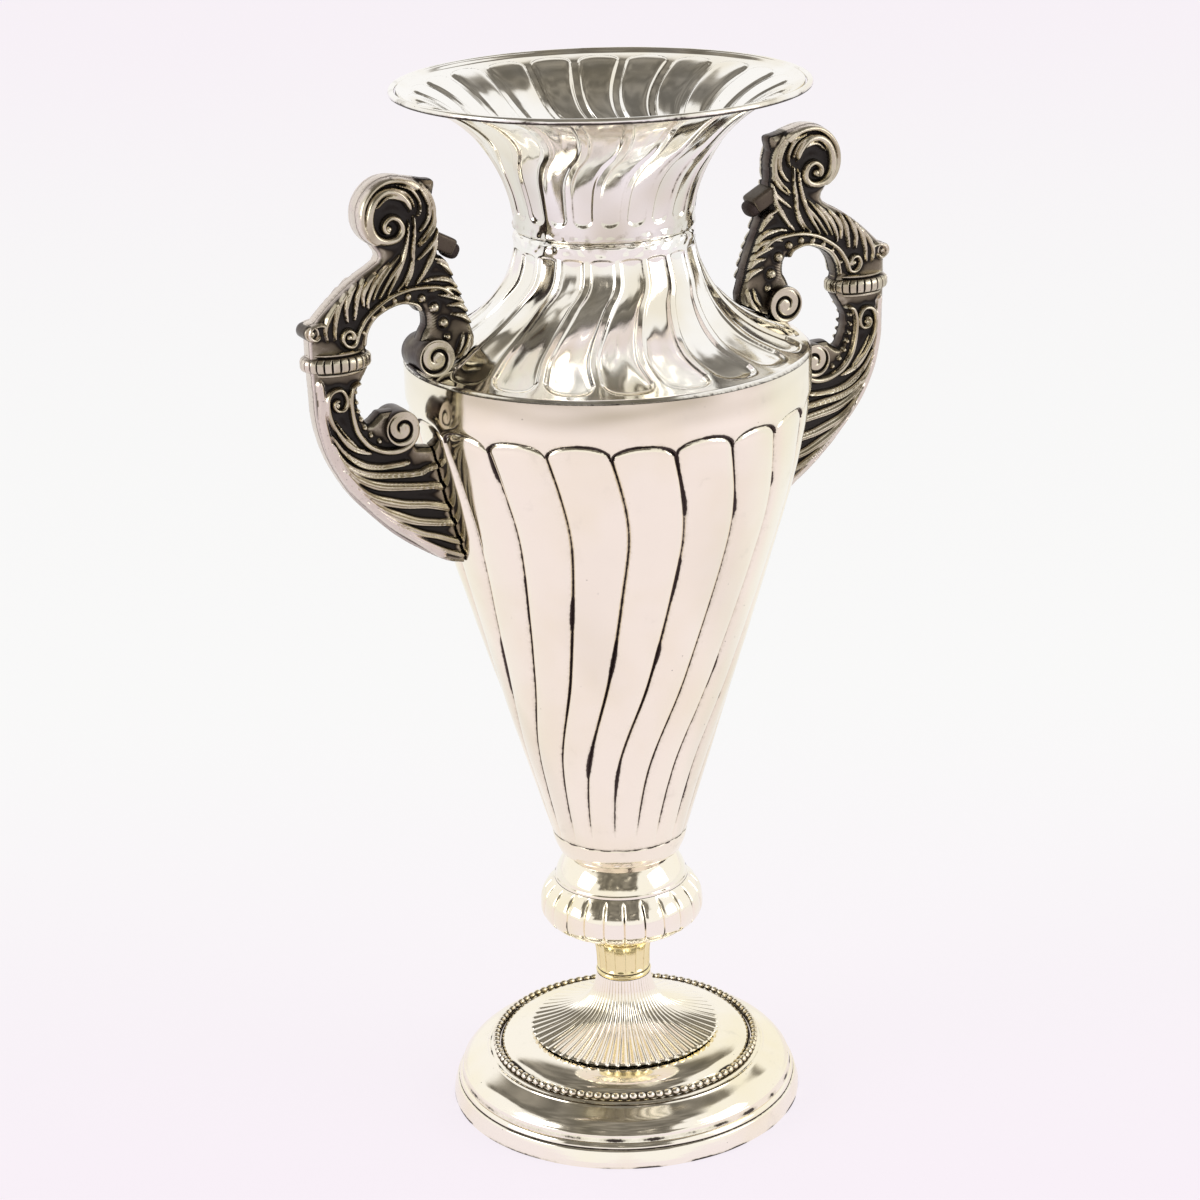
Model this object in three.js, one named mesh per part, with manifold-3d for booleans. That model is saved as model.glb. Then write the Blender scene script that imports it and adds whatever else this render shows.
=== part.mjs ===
// Two-handled pedestal urn in silver-plated metal, built up from spun and
// chased sheet shells, two cast scroll handles and a central tie rod.
// Millimetres, +Z up. The origin is on the axis, at the face the foot rests on.
// The handles lie along +X and -X.
import * as THREE from 'three';
import { mergeVertices } from 'three/addons/utils/BufferGeometryUtils.js';
import Module from 'manifold-3d';

// Fits
const SHEET = 1.6;              // thickness of the spun and chased sheet
const SEAT_GAP = 0.3;           // gap left between pieces that touch
const LAP_LENGTH = 7;           // overlap of the two neck shells at the waist

// Foot
const FOOT_BAND_BASE_RADIUS = 102.9;
const FOOT_BAND_TOP_RADIUS = 98.6;
const FOOT_BAND_HEIGHT = 13.7;
const FOOT_BAND_THICKNESS = 5;
const FOOT_LINE_HEIGHT = 10.4;  // incised line round the band
const FOOT_LINE_DEPTH = 0.7;
const FOOT_LINE_HALF_WIDTH = 0.8;
const FOOT_OGEE_INSET = 0.6;    // the ogee starts this far inside the band's top edge
const BEAD_RING_RADIUS = 76.8;  // centre of the beads
const BEAD_RING_HEIGHT = 32.0;
const BEAD_RADIUS = 2.0;
const BEAD_COUNT = 96;
const BEAD_WIRE_RADIUS = 1.3;   // wire showing between two beads
const DOME_HEIGHT = 39;
const DOME_FLAT_RADIUS = 34;
const TRUMPET_EDGE_RADIUS = 55.4;
const TRUMPET_EDGE_HEIGHT = 40.1;
const TRUMPET_FLUTES = 56;
const TRUMPET_FLUTE_DEPTH = 1.1;
const TRUMPET_SCALLOP = 1.2;

// Stem
const COLLAR_BASE_HEIGHT = 74.7;
const COLLAR_BASE_RADIUS = 15.6;
const COLLAR_TOP_HEIGHT = 101.5;
const COLLAR_TOP_RADIUS = 20.8;
const COLLAR_FLUTES = 16;
const COLLAR_FLUTE_DEPTH = 0.8;
const KNOP_RADIUS = 47.4;
const KNOP_WIDEST_HEIGHT = 119.4;
const KNOP_SEAM_RADIUS = 38.9;
const KNOP_SEAM_HEIGHT = 137.5;
const KNOP_TOP_HEIGHT = 154.9;
const KNOP_TOP_RADIUS = 28;
const KNOP_LOBES = 24;
const KNOP_LOBE_DEPTH = 1.8;
const KNOP_LOBE_FADE = [14, 6];  // height over which the grooves run out, low and high

// Body
const CUP_BASE_HEIGHT = 155.2;
const CUP_BASE_RADIUS = 34.3;
const CUP_TOP_HEIGHT = 168.4;
const CUP_TOP_RADIUS = 39.3;
const BODY_FLUTES = 20;
const BODY_FLUTE_DEPTH = 3.2;
const BODY_MID_HEIGHT = 270;
const BODY_MID_RADIUS = 69.8;
const BODY_UPPER_HEIGHT = 370;
const BODY_UPPER_RADIUS = 99.3;
const BODY_LOBE_EDGE = 0.13;    // share of a lobe's width that each side of a groove takes
const BODY_LEVELS = [220, 320, 400];  // extra rows of points up the body
const SCALLOP_HEIGHT = 427;     // top of the body lobes, under the shoulder band
const SCALLOP_RISE = 8;
const SCALLOP_CREASE_DEPTH = 1.2;  // crease round the tops of the lobes
const SCALLOP_CREASE_HALF = 3;
const SCALLOP_FADE = 12;        // height over which the grooves run out at the scallops
const SCALLOP_INSET = 0.8;      // the wall at the scallops is this far inside the band
const SHOULDER_RADIUS = 112;
const BELOW_SCALLOP_DROP = 20;
const BELOW_SCALLOP_INSET = 4;  // the wall below the scallops is this far inside the band
const BELOW_SCALLOP_RADIUS = SHOULDER_RADIUS - BELOW_SCALLOP_INSET;
const SHOULDER_HEIGHT = 452;
const FLUTE_SWIRL = [[170, -23], [222, -18], [283, -3], [365, 5], [423, 0]];

// Neck
const WAIST_RADIUS = 47.8;
const WAIST_HEIGHT = 521;
const NECK_FLUTES = 20;         // on the shoulder flare
const BELL_FLUTES = 22;         // on the bell above the waist
const BELL_FLUTE_START = -2.45; // degrees from +X to the first ridge of the bell
const NECK_RIDGE_HEIGHT = 1.4;
const RIM_RADIUS = 111.6;       // centre line of the rolled rim wire
const RIM_HEIGHT = 598;
const RIM_WIRE_RADIUS = 2.0;
// Turn of the ridges at each height, degrees
const NECK_SWIRL = [[452, -1], [464, -5], [472, -4.6], [479, -2.6], [488, 1], [500, 7.2], [521, 6.4]];
const BELL_SWIRL = [[530, -4.5], [543, -4], [555, -2.2], [564, 2], [572, 7.5], [582, 9.5], [598, 8]];

// Handles, in the plane of a handle: [out, up] from the shoulder edge
const HANDLE_HALF_THICKNESS = 6.4;  // of the plate behind the relief
const HANDLE_EDGE_BEVEL = 2;
const HANDLE_VOLUTE_INSET = 3;
const HANDLE_RIM_DROP = 33.5;   // the tops of the handles are this far below the rim wire
const HANDLE_CLEARANCE_LEVELS = [300, 340, 400];  // heights where a handle's clearance follows the body
const UPPER_VOLUTE = { out: -4.9, up: 13.1, radius: 10.4, half: 12.5 };
const LOWER_VOLUTE = { out: 15.6, up: -22.9, radius: 9.7, half: 10 };
const TOP_SCROLL = { out: 13, up: 92.5, radius: 20 };
const TOP_SCROLL_EYE = { out: 17.6, up: 85, radius: 6.8, half: 10.6 };
const SMALL_SCROLL_ABOVE = { out: 43, up: 29.8, radius: 4.8, half: 9.8 };
const SMALL_SCROLL_BELOW = { out: 51, up: -3.4, radius: 5.6, half: 9.8 };
const EAR = { out: 62.6, up: 34.6, radius: 5.5 };
const RING = { out: 48, up: 17.5, radius: 19.5, height: 13, squash: 0.7 };
const NUB = { out: -20, up: 69.5, length: 14, height: 13, half: 8, tilt: 25 };
const HANDLE_TAIL = [-18, -105];
const HANDLE_SPINE = [[-8, -102], [8, -92], [21, -82], [33, -70], [44, -57.5], [51.5, -45.5], [57, -34],
  [60.5, -22.5], [62.5, -11], [64, 3], [65, 28]];
const HANDLE_BACK = [[60, 39], [48, 50], [35, 61], [22, 72]];
const HANDLE_TOP_CORNER = [[-12.5, 108], [-12.5, 94], [-11, 64]];
const HANDLE_INSIDE = [[-18, 58], [-22, 46], [-25.5, 33], [-27, 22], [-26, 13], [-21, 4], [-12, -6]];
const HANDLE_GAP_TOP = [[-8.5, 29.5], [-2, 37], [8, 40], [18, 39.5], [29, 35], [35.5, 27], [37, 16], [41, 4],
  [42.5, -5], [39.5, -14], [33, -21]];
const HANDLE_FAN_EDGE = [[6, -35], [-12, -39], [-30, -105]];

// Raised leaves and bands on both faces of a handle: the line along the crown
const RELIEF_ROOT = 4.6;        // half thickness where the sides of a leaf start to slope
const RELIEF_TIP = 0.4;         // share of the width and rise left at the ends
const RELIEF_SLIVER = 0.15;     // edges shorter than this are merged
const HANDLE_RELIEF = [
  // top scroll
  { half: 3.4, crown: 10.2, line: [[1, 105], [10, 108.4], [19, 107.6], [26.4, 102.6], [30.2, 95], [30.2, 87],
    [26, 80.2], [18.5, 78], [12.5, 80]] },
  { half: 2.2, crown: 9.6, line: [[9, 107.4], [1.5, 105], [-4, 99.6], [-6.2, 93.4], [-5, 86.4],
    [-0.4, 79.6]] },
  { half: 1.9, crown: 9.8, line: [[11.4, 105.4], [4, 102.2], [0, 97], [-0.4, 90]] },
  // leaves down the stem
  { half: 1.9, crown: 9.4, line: [[-10.4, 81.6], [-8.2, 75.6], [-3.8, 70.8], [1.6, 66.2]] },
  { half: 2.1, crown: 9.5, line: [[-10, 75.4], [-6.6, 67.6], [-2, 59.8], [3.4, 53.4]] },
  { half: 2, crown: 9.8, line: [[2.8, 89], [3.6, 78], [4.8, 64.6], [9.8, 52.8]] },
  { half: 2, crown: 9.8, line: [[6, 87], [8.6, 71.6], [12.8, 61.6], [20, 49.6]] },
  { half: 1.9, crown: 9.3, line: [[8.4, 71], [15, 60.6], [24.8, 48.2]] },
  // leaf over the outer shoulder
  { half: 2.3, crown: 9.2, line: [[18, 66], [28, 54], [31, 43.6]] },
  { half: 2.3, crown: 9.4, line: [[25.6, 62], [33.6, 51], [33.6, 45]] },
  { half: 2.3, crown: 9.6, line: [[32.4, 60], [37.8, 46], [39, 39]] },
  { half: 2.3, crown: 9.6, line: [[36.6, 57.6], [43.2, 46], [43.2, 38.2]] },
  { half: 2.3, crown: 9.2, line: [[42, 53.6], [49.6, 38], [50.4, 29.6]] },
  { half: 2, crown: 8.8, line: [[47.6, 48.4], [55.2, 36], [54.4, 29.6]] },
  // arch over the finger gap
  { half: 1.7, crown: 9.8, line: [[-17.6, 45], [-10.6, 49.4], [-2, 51.2], [8, 51.2], [17.6, 48.8],
    [25.4, 44.6], [32.4, 39], [37, 32.4], [40, 27]] },
  // body side
  { half: 2, crown: 9, line: [[-20.6, 48.4], [-15.6, 53.2], [-7, 55.2]] },
  { half: 2, crown: 9, line: [[-24, 39.6], [-19.6, 43.2], [-9.6, 46.2]] },
  { half: 2, crown: 8.8, line: [[-27, 28.4], [-23.2, 32.8], [-16.4, 34.6]] },
  { half: 2.2, crown: 9.4, line: [[-26.6, 23.6], [-25, 16.2], [-20, 9.6], [-14.4, 4.6]] },
  // straps below the ring
  { half: 2.2, crown: 10, line: [[37.8, 5], [43.2, -2], [43.2, -10], [41.2, -19.6], [33.2, -31],
    [25.4, -34.4], [17.6, -35], [11.2, -32.4], [7.6, -26.6]] },
  { half: 1.9, crown: 9.8, line: [[37, -32.2], [44.6, -28.4], [50.4, -22], [54.8, -14.4], [56.6, -6],
    [55, 1]] },
  // fan of fronds
  { half: 2.4, crown: 9.8, line: [[53.8, -17.4], [48.8, -24.4], [42, -31], [33, -34.6]] },
  { half: 2.5, crown: 9.7, line: [[55, -21.4], [48.8, -31.4], [39, -39.4], [19.6, -43]] },
  { half: 2.6, crown: 9.7, line: [[55, -25.4], [48.4, -37.4], [36, -45.4], [19.6, -48.4], [1.8, -48]] },
  { half: 3, crown: 9.8, line: [[54, -30.4], [44.6, -44.4], [31.2, -52.4], [14.6, -55.8], [-2.2, -58]] },
  { half: 3.1, crown: 9.8, line: [[49.4, -41.4], [36, -57], [18.6, -64.8], [-5.6, -70.4]] },
  { half: 3, crown: 9.7, line: [[44.6, -50.4], [30.2, -65], [12.6, -74.8], [-9, -80]] },
  { half: 2.4, crown: 9.5, line: [[38, -60.4], [23, -73.8], [7.8, -82.8], [-10.6, -90.2]] },
  { half: 2, crown: 9.2, line: [[29.4, -70.4], [13.6, -83], [1, -91.4], [-11, -97.4]] },
];

// Fastenings
const ROD_RADIUS = 4;
const HOLE_CLEARANCE = 0.4;
const ROD_NUT_HEIGHT = 6.5;
const ROD_NUT_RADIUS = 8;
const ROD_WASHER_RADIUS = 16;
const ROD_WASHER_THICKNESS = 2;
const SCREW_RADIUS = 2;
const SCREW_LENGTH = 16;
const SCREW_HEAD_RADIUS = 4;
const SCREW_HEAD_HEIGHT = 3;
const SCREW_WASHER_RADIUS = 6;
const SCREW_WASHER_THICKNESS = 1;
const WASHER_STANDOFF = 1.6;    // flat washer clear of the lobed wall, past its lean
const SIDE_SCREW_HEIGHT = 404;
const TOP_SCREW_INSET = 11;     // the upright screws are this far inside the shoulder edge
const TOP_SCREW_RADIUS = SHOULDER_RADIUS - TOP_SCREW_INSET;
const HOLE_REACH = 10;          // a screw hole is cut from this far before its seat

const TURN = Math.PI * 2;
const RAD = Math.PI / 180;
const ROUND_STEPS = 44;         // faces round a plain turned piece

const wasm = await Module();
wasm.setup();

const urn = new THREE.Group();
urn.name = 'urn';

const FINISHES = {
  silver: { color: 0xd9d3cd, roughness: 0.16, metalness: 1 },
  gilt: { color: 0xc9ab72, roughness: 0.25, metalness: 1 },
  cast: { color: 0x9a8f78, roughness: 0.35, metalness: 1 },
  steel: { color: 0x8f9296, roughness: 0.4, metalness: 1 },
};

function add(name, geometry, finish) {
  const mesh = new THREE.Mesh(geometry, new THREE.MeshStandardMaterial(FINISHES[finish]));
  mesh.name = name;
  urn.add(mesh);
  return mesh;
}

// Closed-mesh helpers

function toSolid(geometry) {
  const bare = geometry.index ? geometry.toNonIndexed() : geometry.clone();
  bare.deleteAttribute('normal');
  bare.deleteAttribute('uv');
  const merged = mergeVertices(bare, 1e-4);
  const corners = merged.index.array;
  const faces = [];
  for (let i = 0; i < corners.length; i += 3) {
    const [a, b, c] = corners.slice(i, i + 3);
    if (a !== b && b !== c && c !== a) faces.push(a, b, c);
  }
  return new wasm.Manifold(new wasm.Mesh({
    numProp: 3,
    vertProperties: new Float32Array(merged.attributes.position.array),
    triVerts: new Uint32Array(faces),
  }));
}

function toGeometry(solid) {
  const mesh = solid.getMesh();
  const geometry = new THREE.BufferGeometry();
  const places = [];
  for (let i = 0; i < mesh.numVert; i += 1) {
    places.push(...mesh.vertProperties.slice(i * mesh.numProp, i * mesh.numProp + 3));
  }
  geometry.setAttribute('position', new THREE.Float32BufferAttribute(places, 3));
  geometry.setIndex(Array.from(mesh.triVerts));
  geometry.computeVertexNormals();
  return geometry;
}

// A closed section [r, z], listed with the metal on its left, swept round the
// axis at the given angles. warp moves a point of the section at an angle.
function sweepSection(section, angles, warp = (point) => point) {
  const places = [];
  const faces = [];
  const rows = section.length;
  for (const angle of angles) {
    for (let k = 0; k < rows; k += 1) {
      const { r, z, turn = 0 } = warp(section[k], angle);
      places.push(r * Math.cos(angle + turn), r * Math.sin(angle + turn), z);
    }
  }
  for (let i = 0; i < angles.length; i += 1) {
    const next = (i + 1) % angles.length;
    for (let k = 0; k < rows; k += 1) {
      const up = (k + 1) % rows;
      const a = i * rows + k;
      const b = next * rows + k;
      const c = next * rows + up;
      const d = i * rows + up;
      faces.push(a, b, c, a, c, d);
    }
  }
  const geometry = new THREE.BufferGeometry();
  geometry.setAttribute('position', new THREE.Float32BufferAttribute(places, 3));
  geometry.setIndex(faces);
  geometry.computeVertexNormals();
  return geometry;
}

function evenAngles(count) {
  return Array.from({ length: count }, (_, i) => (i / count) * TURN);
}

// Angles with extra places near the edge of each repeat, at the given shares
function patternAngles(repeats, shares, start = 0) {
  const angles = [];
  for (let i = 0; i < repeats; i += 1) {
    for (const share of shares) angles.push(start + ((i + share) / repeats) * TURN);
  }
  return angles;
}

// Outer line of a shell (bottom to top) and the same line moved in by the
// sheet, joined into one closed section. The inner line keeps each innerStep-th
// point. A level end is cut flat at its own height, any other end square.
function sheetSection(outer, { levelStart = false, levelEnd = false, innerStep = 1 } = {}) {
  const inner = [];
  const last = outer.length - 1;
  for (let k = 0; k <= last; k += 1) {
    if (k % innerStep !== 0 && k !== last) continue;
    const before = outer[Math.max(k - 1, 0)];
    const after = outer[Math.min(k + 1, last)];
    const run = Math.hypot(after.r - before.r, after.z - before.z);
    const nr = (after.z - before.z) / run;
    const nz = -(after.r - before.r) / run;
    const level = (k === 0 && levelStart) || (k === last && levelEnd);
    const shift = level ? { r: SHEET / nr, z: 0 } : { r: nr * SHEET, z: nz * SHEET };
    inner.push({ ...outer[k], r: outer[k].r - shift.r, z: outer[k].z - shift.z });
  }
  return [...outer, ...inner.reverse()];
}

function curvePoints(curve, divisions) {
  return curve.getPoints(divisions).map((point, k) => ({ r: point.x, z: point.y, t: k / divisions }));
}

// Cubic curve between two points [r, z], its two control points given as
// shares of the way across and up from the first to the last
function sweepCurve(start, end, first, second) {
  const at = ([across, up]) => new THREE.Vector2(
    start[0] + across * (end[0] - start[0]), start[1] + up * (end[1] - start[1]));
  return new THREE.CubicBezierCurve(at([0, 0]), at(first), at(second), at([1, 1]));
}

// Value at z of a smooth line through [z, value] points
function lineThrough(points) {
  const curve = new THREE.SplineCurve(points.map(([z, value]) => new THREE.Vector2(z, value)));
  const samples = curve.getPoints(60);
  return (z) => {
    if (z <= samples[0].x) return samples[0].y;
    for (let k = 1; k < samples.length; k += 1) {
      if (z <= samples[k].x) {
        const share = (z - samples[k - 1].x) / (samples[k].x - samples[k - 1].x);
        return samples[k - 1].y + share * (samples[k].y - samples[k - 1].y);
      }
    }
    return samples[samples.length - 1].y;
  };
}

// Share of the way round one repeat of a pattern, 0 to 1
function repeatShare(angle, repeats, start = 0) {
  const share = ((angle - start) / TURN) * repeats;
  return share - Math.floor(share);
}

const boreRadius = ROD_RADIUS + HOLE_CLEARANCE;

// Foot

function footBand() {
  const slope = (FOOT_BAND_TOP_RADIUS - FOOT_BAND_BASE_RADIUS) / FOOT_BAND_HEIGHT;
  const face = (z) => FOOT_BAND_BASE_RADIUS + slope * z;
  const section = [
    { r: face(0), z: 0 },
    { r: face(FOOT_LINE_HEIGHT - FOOT_LINE_HALF_WIDTH), z: FOOT_LINE_HEIGHT - FOOT_LINE_HALF_WIDTH },
    { r: face(FOOT_LINE_HEIGHT) - FOOT_LINE_DEPTH, z: FOOT_LINE_HEIGHT },
    { r: face(FOOT_LINE_HEIGHT + FOOT_LINE_HALF_WIDTH), z: FOOT_LINE_HEIGHT + FOOT_LINE_HALF_WIDTH },
    { r: face(FOOT_BAND_HEIGHT), z: FOOT_BAND_HEIGHT },
    { r: face(FOOT_BAND_HEIGHT) - FOOT_BAND_THICKNESS, z: FOOT_BAND_HEIGHT },
    { r: face(0) - FOOT_BAND_THICKNESS, z: 0 },
  ];
  add('foot_rim_band', sweepSection(section, evenAngles(ROUND_STEPS)), 'silver');
}

const ogeeTopHeight = BEAD_RING_HEIGHT - BEAD_RADIUS - SEAT_GAP;
const beadSeatInner = BEAD_RING_RADIUS - BEAD_RADIUS;

function footOgee() {
  const start = [FOOT_BAND_TOP_RADIUS - FOOT_OGEE_INSET, FOOT_BAND_HEIGHT + SEAT_GAP];
  const end = [BEAD_RING_RADIUS + BEAD_RADIUS, ogeeTopHeight];
  const line = curvePoints(sweepCurve(start, end, [0.16, 0.7], [0.53, 0.64]), 5);
  line.push({ r: beadSeatInner, z: ogeeTopHeight, t: 1 });
  add('foot_ogee', sweepSection(sheetSection(line, { levelStart: true }), evenAngles(ROUND_STEPS)), 'silver');
}

function beadWire() {
  const sides = 4;
  const angles = patternAngles(BEAD_COUNT, [0, 0.5]);
  const section = [];
  for (let k = 0; k < sides; k += 1) {
    const around = (k / sides) * TURN - TURN / 4;
    section.push({ cr: Math.cos(around), cz: Math.sin(around) });
  }
  const warp = (point, angle) => {
    const swell = repeatShare(angle + 1e-6, BEAD_COUNT) < 0.4 ? BEAD_WIRE_RADIUS : BEAD_RADIUS;
    return { r: BEAD_RING_RADIUS + point.cr * swell, z: BEAD_RING_HEIGHT + point.cz * swell };
  };
  add('bead_wire', sweepSection(section, angles, warp), 'silver');
}

function footDome() {
  const edge = [beadSeatInner - SEAT_GAP, ogeeTopHeight];
  const crown = [DOME_FLAT_RADIUS, DOME_HEIGHT];
  const line = curvePoints(sweepCurve(edge, crown, [0.05, 0.68], [0.36, 1]), 4);
  line.push({ r: boreRadius, z: crown[1], t: 1 });
  add('foot_dome', sweepSection(sheetSection(line, { innerStep: 2 }), evenAngles(ROUND_STEPS)), 'silver');
}

const trumpetTop = COLLAR_BASE_HEIGHT - SEAT_GAP;

function footTrumpet() {
  const start = [TRUMPET_EDGE_RADIUS, TRUMPET_EDGE_HEIGHT];
  const end = [COLLAR_BASE_RADIUS, trumpetTop];
  const line = curvePoints(sweepCurve(start, end, [0.56, 0.19], [0.96, 0.28]), 4);
  const warp = (point, angle) => {
    const share = repeatShare(angle + 1e-6, TRUMPET_FLUTES);
    const ridge = share > 0.4 ? 1 : 0;
    const fade = Math.min(1, (1 - point.t) * 2.5);
    const rise = ridge * fade * TRUMPET_FLUTE_DEPTH;
    const reach = point.t === 0 ? ridge * TRUMPET_SCALLOP - TRUMPET_SCALLOP / 2 : 0;
    return { r: point.r + reach + 0.4 * rise, z: point.z + (point.t < 0.6 ? rise : 0) };
  };
  const angles = patternAngles(TRUMPET_FLUTES, [0, 0.5]);
  add('foot_trumpet', sweepSection(sheetSection(line, { levelEnd: true }), angles, warp), 'silver');
}

// Stem

function stemCollar() {
  const start = [COLLAR_BASE_RADIUS, COLLAR_BASE_HEIGHT];
  const end = [COLLAR_TOP_RADIUS, COLLAR_TOP_HEIGHT];
  const line = curvePoints(sweepCurve(start, end, [-0.06, 0.44], [0.05, 0.86]), 4);
  const warp = (point, angle) => {
    const share = repeatShare(angle, COLLAR_FLUTES);
    const hollow = COLLAR_FLUTE_DEPTH * Math.sin(Math.PI * share) * Math.sin(Math.PI * point.t);
    return { r: point.r - hollow, z: point.z };
  };
  const angles = patternAngles(COLLAR_FLUTES, [0, 0.5]);
  const section = sheetSection(line, { levelStart: true, levelEnd: true });
  add('stem_collar', sweepSection(section, angles, warp), 'gilt');
}

function knopLower() {
  const start = [COLLAR_TOP_RADIUS, COLLAR_TOP_HEIGHT + SEAT_GAP];
  const widest = [KNOP_RADIUS, KNOP_WIDEST_HEIGHT];
  const end = [KNOP_SEAM_RADIUS, KNOP_SEAM_HEIGHT - SEAT_GAP];
  const under = curvePoints(sweepCurve(start, widest, [0.19, 0.2], [1, 0.34]), 4);
  const over = curvePoints(sweepCurve(widest, end, [0, 0.62], [0.51, 0.69]), 3);
  const line = [...under, ...over.slice(1)];
  const [lowFade, highFade] = KNOP_LOBE_FADE;
  const warp = (point, angle) => {
    const share = repeatShare(angle, KNOP_LOBES);
    const low = THREE.MathUtils.smoothstep(point.z - COLLAR_TOP_HEIGHT, 0, lowFade);
    const high = THREE.MathUtils.smoothstep(KNOP_SEAM_HEIGHT - point.z, 0, highFade);
    const groove = KNOP_LOBE_DEPTH * (1 - Math.sin(Math.PI * share)) * low * high;
    return { r: point.r - groove, z: point.z };
  };
  const angles = patternAngles(KNOP_LOBES, [0, 0.5]);
  const section = sheetSection(line, { levelEnd: true, innerStep: 2 });
  add('knop_lower', sweepSection(section, angles, warp), 'silver');
}

function knopUpper() {
  const start = [KNOP_SEAM_RADIUS, KNOP_SEAM_HEIGHT];
  const end = [KNOP_TOP_RADIUS, KNOP_TOP_HEIGHT];
  const line = curvePoints(sweepCurve(start, end, [0.02, 0.35], [0.5, 0.8]), 4);
  add('knop_upper', sweepSection(sheetSection(line, { levelStart: true, innerStep: 2 }),
    evenAngles(ROUND_STEPS)), 'silver');
}

// Body

function bodyCup() {
  const start = [CUP_BASE_RADIUS, CUP_BASE_HEIGHT];
  const end = [CUP_TOP_RADIUS, CUP_TOP_HEIGHT];
  const rise = curvePoints(sweepCurve(start, end, [0.46, 0.18], [0.9, 0.58]), 3);
  const floor = { r: boreRadius, z: CUP_BASE_HEIGHT, t: 0 };
  const inner = rise.map((point) => ({ ...point, r: point.r - SHEET, z: point.z })).reverse();
  inner[inner.length - 1].z += SHEET;
  const section = [floor, ...rise, ...inner, { r: boreRadius, z: CUP_BASE_HEIGHT + SHEET, t: 0 }];
  add('body_cup', sweepSection(section, evenAngles(ROUND_STEPS)), 'silver');
}

const bodyBase = CUP_TOP_HEIGHT + SEAT_GAP;
const bodyLine = lineThrough([
  [bodyBase, CUP_TOP_RADIUS], [BODY_MID_HEIGHT, BODY_MID_RADIUS], [BODY_UPPER_HEIGHT, BODY_UPPER_RADIUS],
  [SCALLOP_HEIGHT - BELOW_SCALLOP_DROP, BELOW_SCALLOP_RADIUS],
  [SCALLOP_HEIGHT, SHOULDER_RADIUS - SCALLOP_INSET], [SCALLOP_HEIGHT + SCALLOP_RISE, SHOULDER_RADIUS],
  [SHOULDER_HEIGHT, SHOULDER_RADIUS],
]);
const swirlLine = lineThrough(FLUTE_SWIRL);

function bodyShell() {
  const levels = [bodyBase, ...BODY_LEVELS, BODY_MID_HEIGHT, BODY_UPPER_HEIGHT, SCALLOP_HEIGHT - 10,
    SCALLOP_HEIGHT - SCALLOP_CREASE_HALF, SCALLOP_HEIGHT, SCALLOP_HEIGHT + SCALLOP_CREASE_HALF,
    SHOULDER_HEIGHT - SEAT_GAP].sort((a, b) => a - b);
  const creaseAt = (z) => (z === SCALLOP_HEIGHT ? SCALLOP_CREASE_DEPTH : 0);
  const outer = levels.map((z) => ({ r: bodyLine(z), z, crease: creaseAt(z) }));
  const inner = outer.filter((_, k) => [0, 1, 2, 3, 4, 5, 10].includes(k))
    .map((point) => ({ ...point, r: point.r - SHEET }));
  inner[0].z += SHEET;
  const floor = [bodyBase + SHEET, bodyBase].map((z) => ({ r: boreRadius, z, flat: true }));
  const section = [...outer, ...inner.reverse(), ...floor];
  const warp = (point, angle) => {
    if (point.flat) return point;
    const share = repeatShare(angle + 1e-6, BODY_FLUTES);
    const lobe = Math.min(1, share / BODY_LOBE_EDGE, (1 - share) / BODY_LOBE_EDGE);
    const fadeTop = THREE.MathUtils.smoothstep(SCALLOP_HEIGHT + 1 - point.z, 0, SCALLOP_FADE);
    const fadeBase = THREE.MathUtils.smoothstep(point.z - bodyBase, -20, 40);
    const groove = BODY_FLUTE_DEPTH * (1 - lobe) * fadeTop * fadeBase;
    const arch = Math.abs(point.z - SCALLOP_HEIGHT) < SCALLOP_FADE ? SCALLOP_RISE * (lobe - 1) * 0.5 : 0;
    const third = share < 0.01 ? 0 : (share < 0.5 ? 1 : 2);
    const even = point.z > SCALLOP_HEIGHT + SCALLOP_FADE ? third / 3 - share : 0;
    return {
      r: point.r - groove - point.crease,
      z: point.z + arch,
      turn: swirlLine(point.z) * RAD + (even * TURN) / BODY_FLUTES,
    };
  };
  const start = TURN / BODY_FLUTES / 2;
  const angles = patternAngles(BODY_FLUTES, [0, BODY_LOBE_EDGE, 1 - BODY_LOBE_EDGE], start);
  const shifted = (point, angle) => warp(point, angle - start);
  let solid = toSolid(sweepSection(section, angles, shifted));
  for (const side of [1, -1]) solid = solid.subtract(sideScrewHole(side));
  add('body_shell', toGeometry(solid), 'silver');
}

// Neck

const shoulderCurve = sweepCurve([SHOULDER_RADIUS, SHOULDER_HEIGHT], [WAIST_RADIUS, WAIST_HEIGHT],
  [0.72, 0.22], [1, 0.58]);
const bellCurve = sweepCurve([WAIST_RADIUS, WAIST_HEIGHT + SEAT_GAP],
  [RIM_RADIUS - RIM_WIRE_RADIUS - SEAT_GAP, RIM_HEIGHT - 0.5], [0, 0.4], [0.36, 0.9]);

// Raised ridge between two neck flutes; from and to give its reach along the curve
function ridgeWarp(flutes, start, from, to) {
  return (point, angle) => {
    const share = repeatShare(angle + 1e-6, flutes, start);
    const near = Math.min(share, 1 - share);
    const along = THREE.MathUtils.smoothstep(point.t, from - 0.1, from + 0.05)
      * (1 - THREE.MathUtils.smoothstep(point.t, to - 0.05, to + 0.1));
    const rise = near < 0.02 ? NECK_RIDGE_HEIGHT * along : 0;
    return {
      r: point.r + rise * Math.cos(point.slope),
      z: point.z + rise * Math.sin(point.slope),
      turn: point.turn,
    };
  };
}

// The same line with the slope and the turn of the flutes at each point
function withSwirl(line, swirl) {
  const turnAt = lineThrough(swirl);
  return line.map((point, k) => {
    const before = line[Math.max(k - 1, 0)];
    const after = line[Math.min(k + 1, line.length - 1)];
    const slope = Math.atan2(-(after.r - before.r), after.z - before.z);
    return { ...point, slope, turn: turnAt(point.z) * RAD };
  });
}

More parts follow.
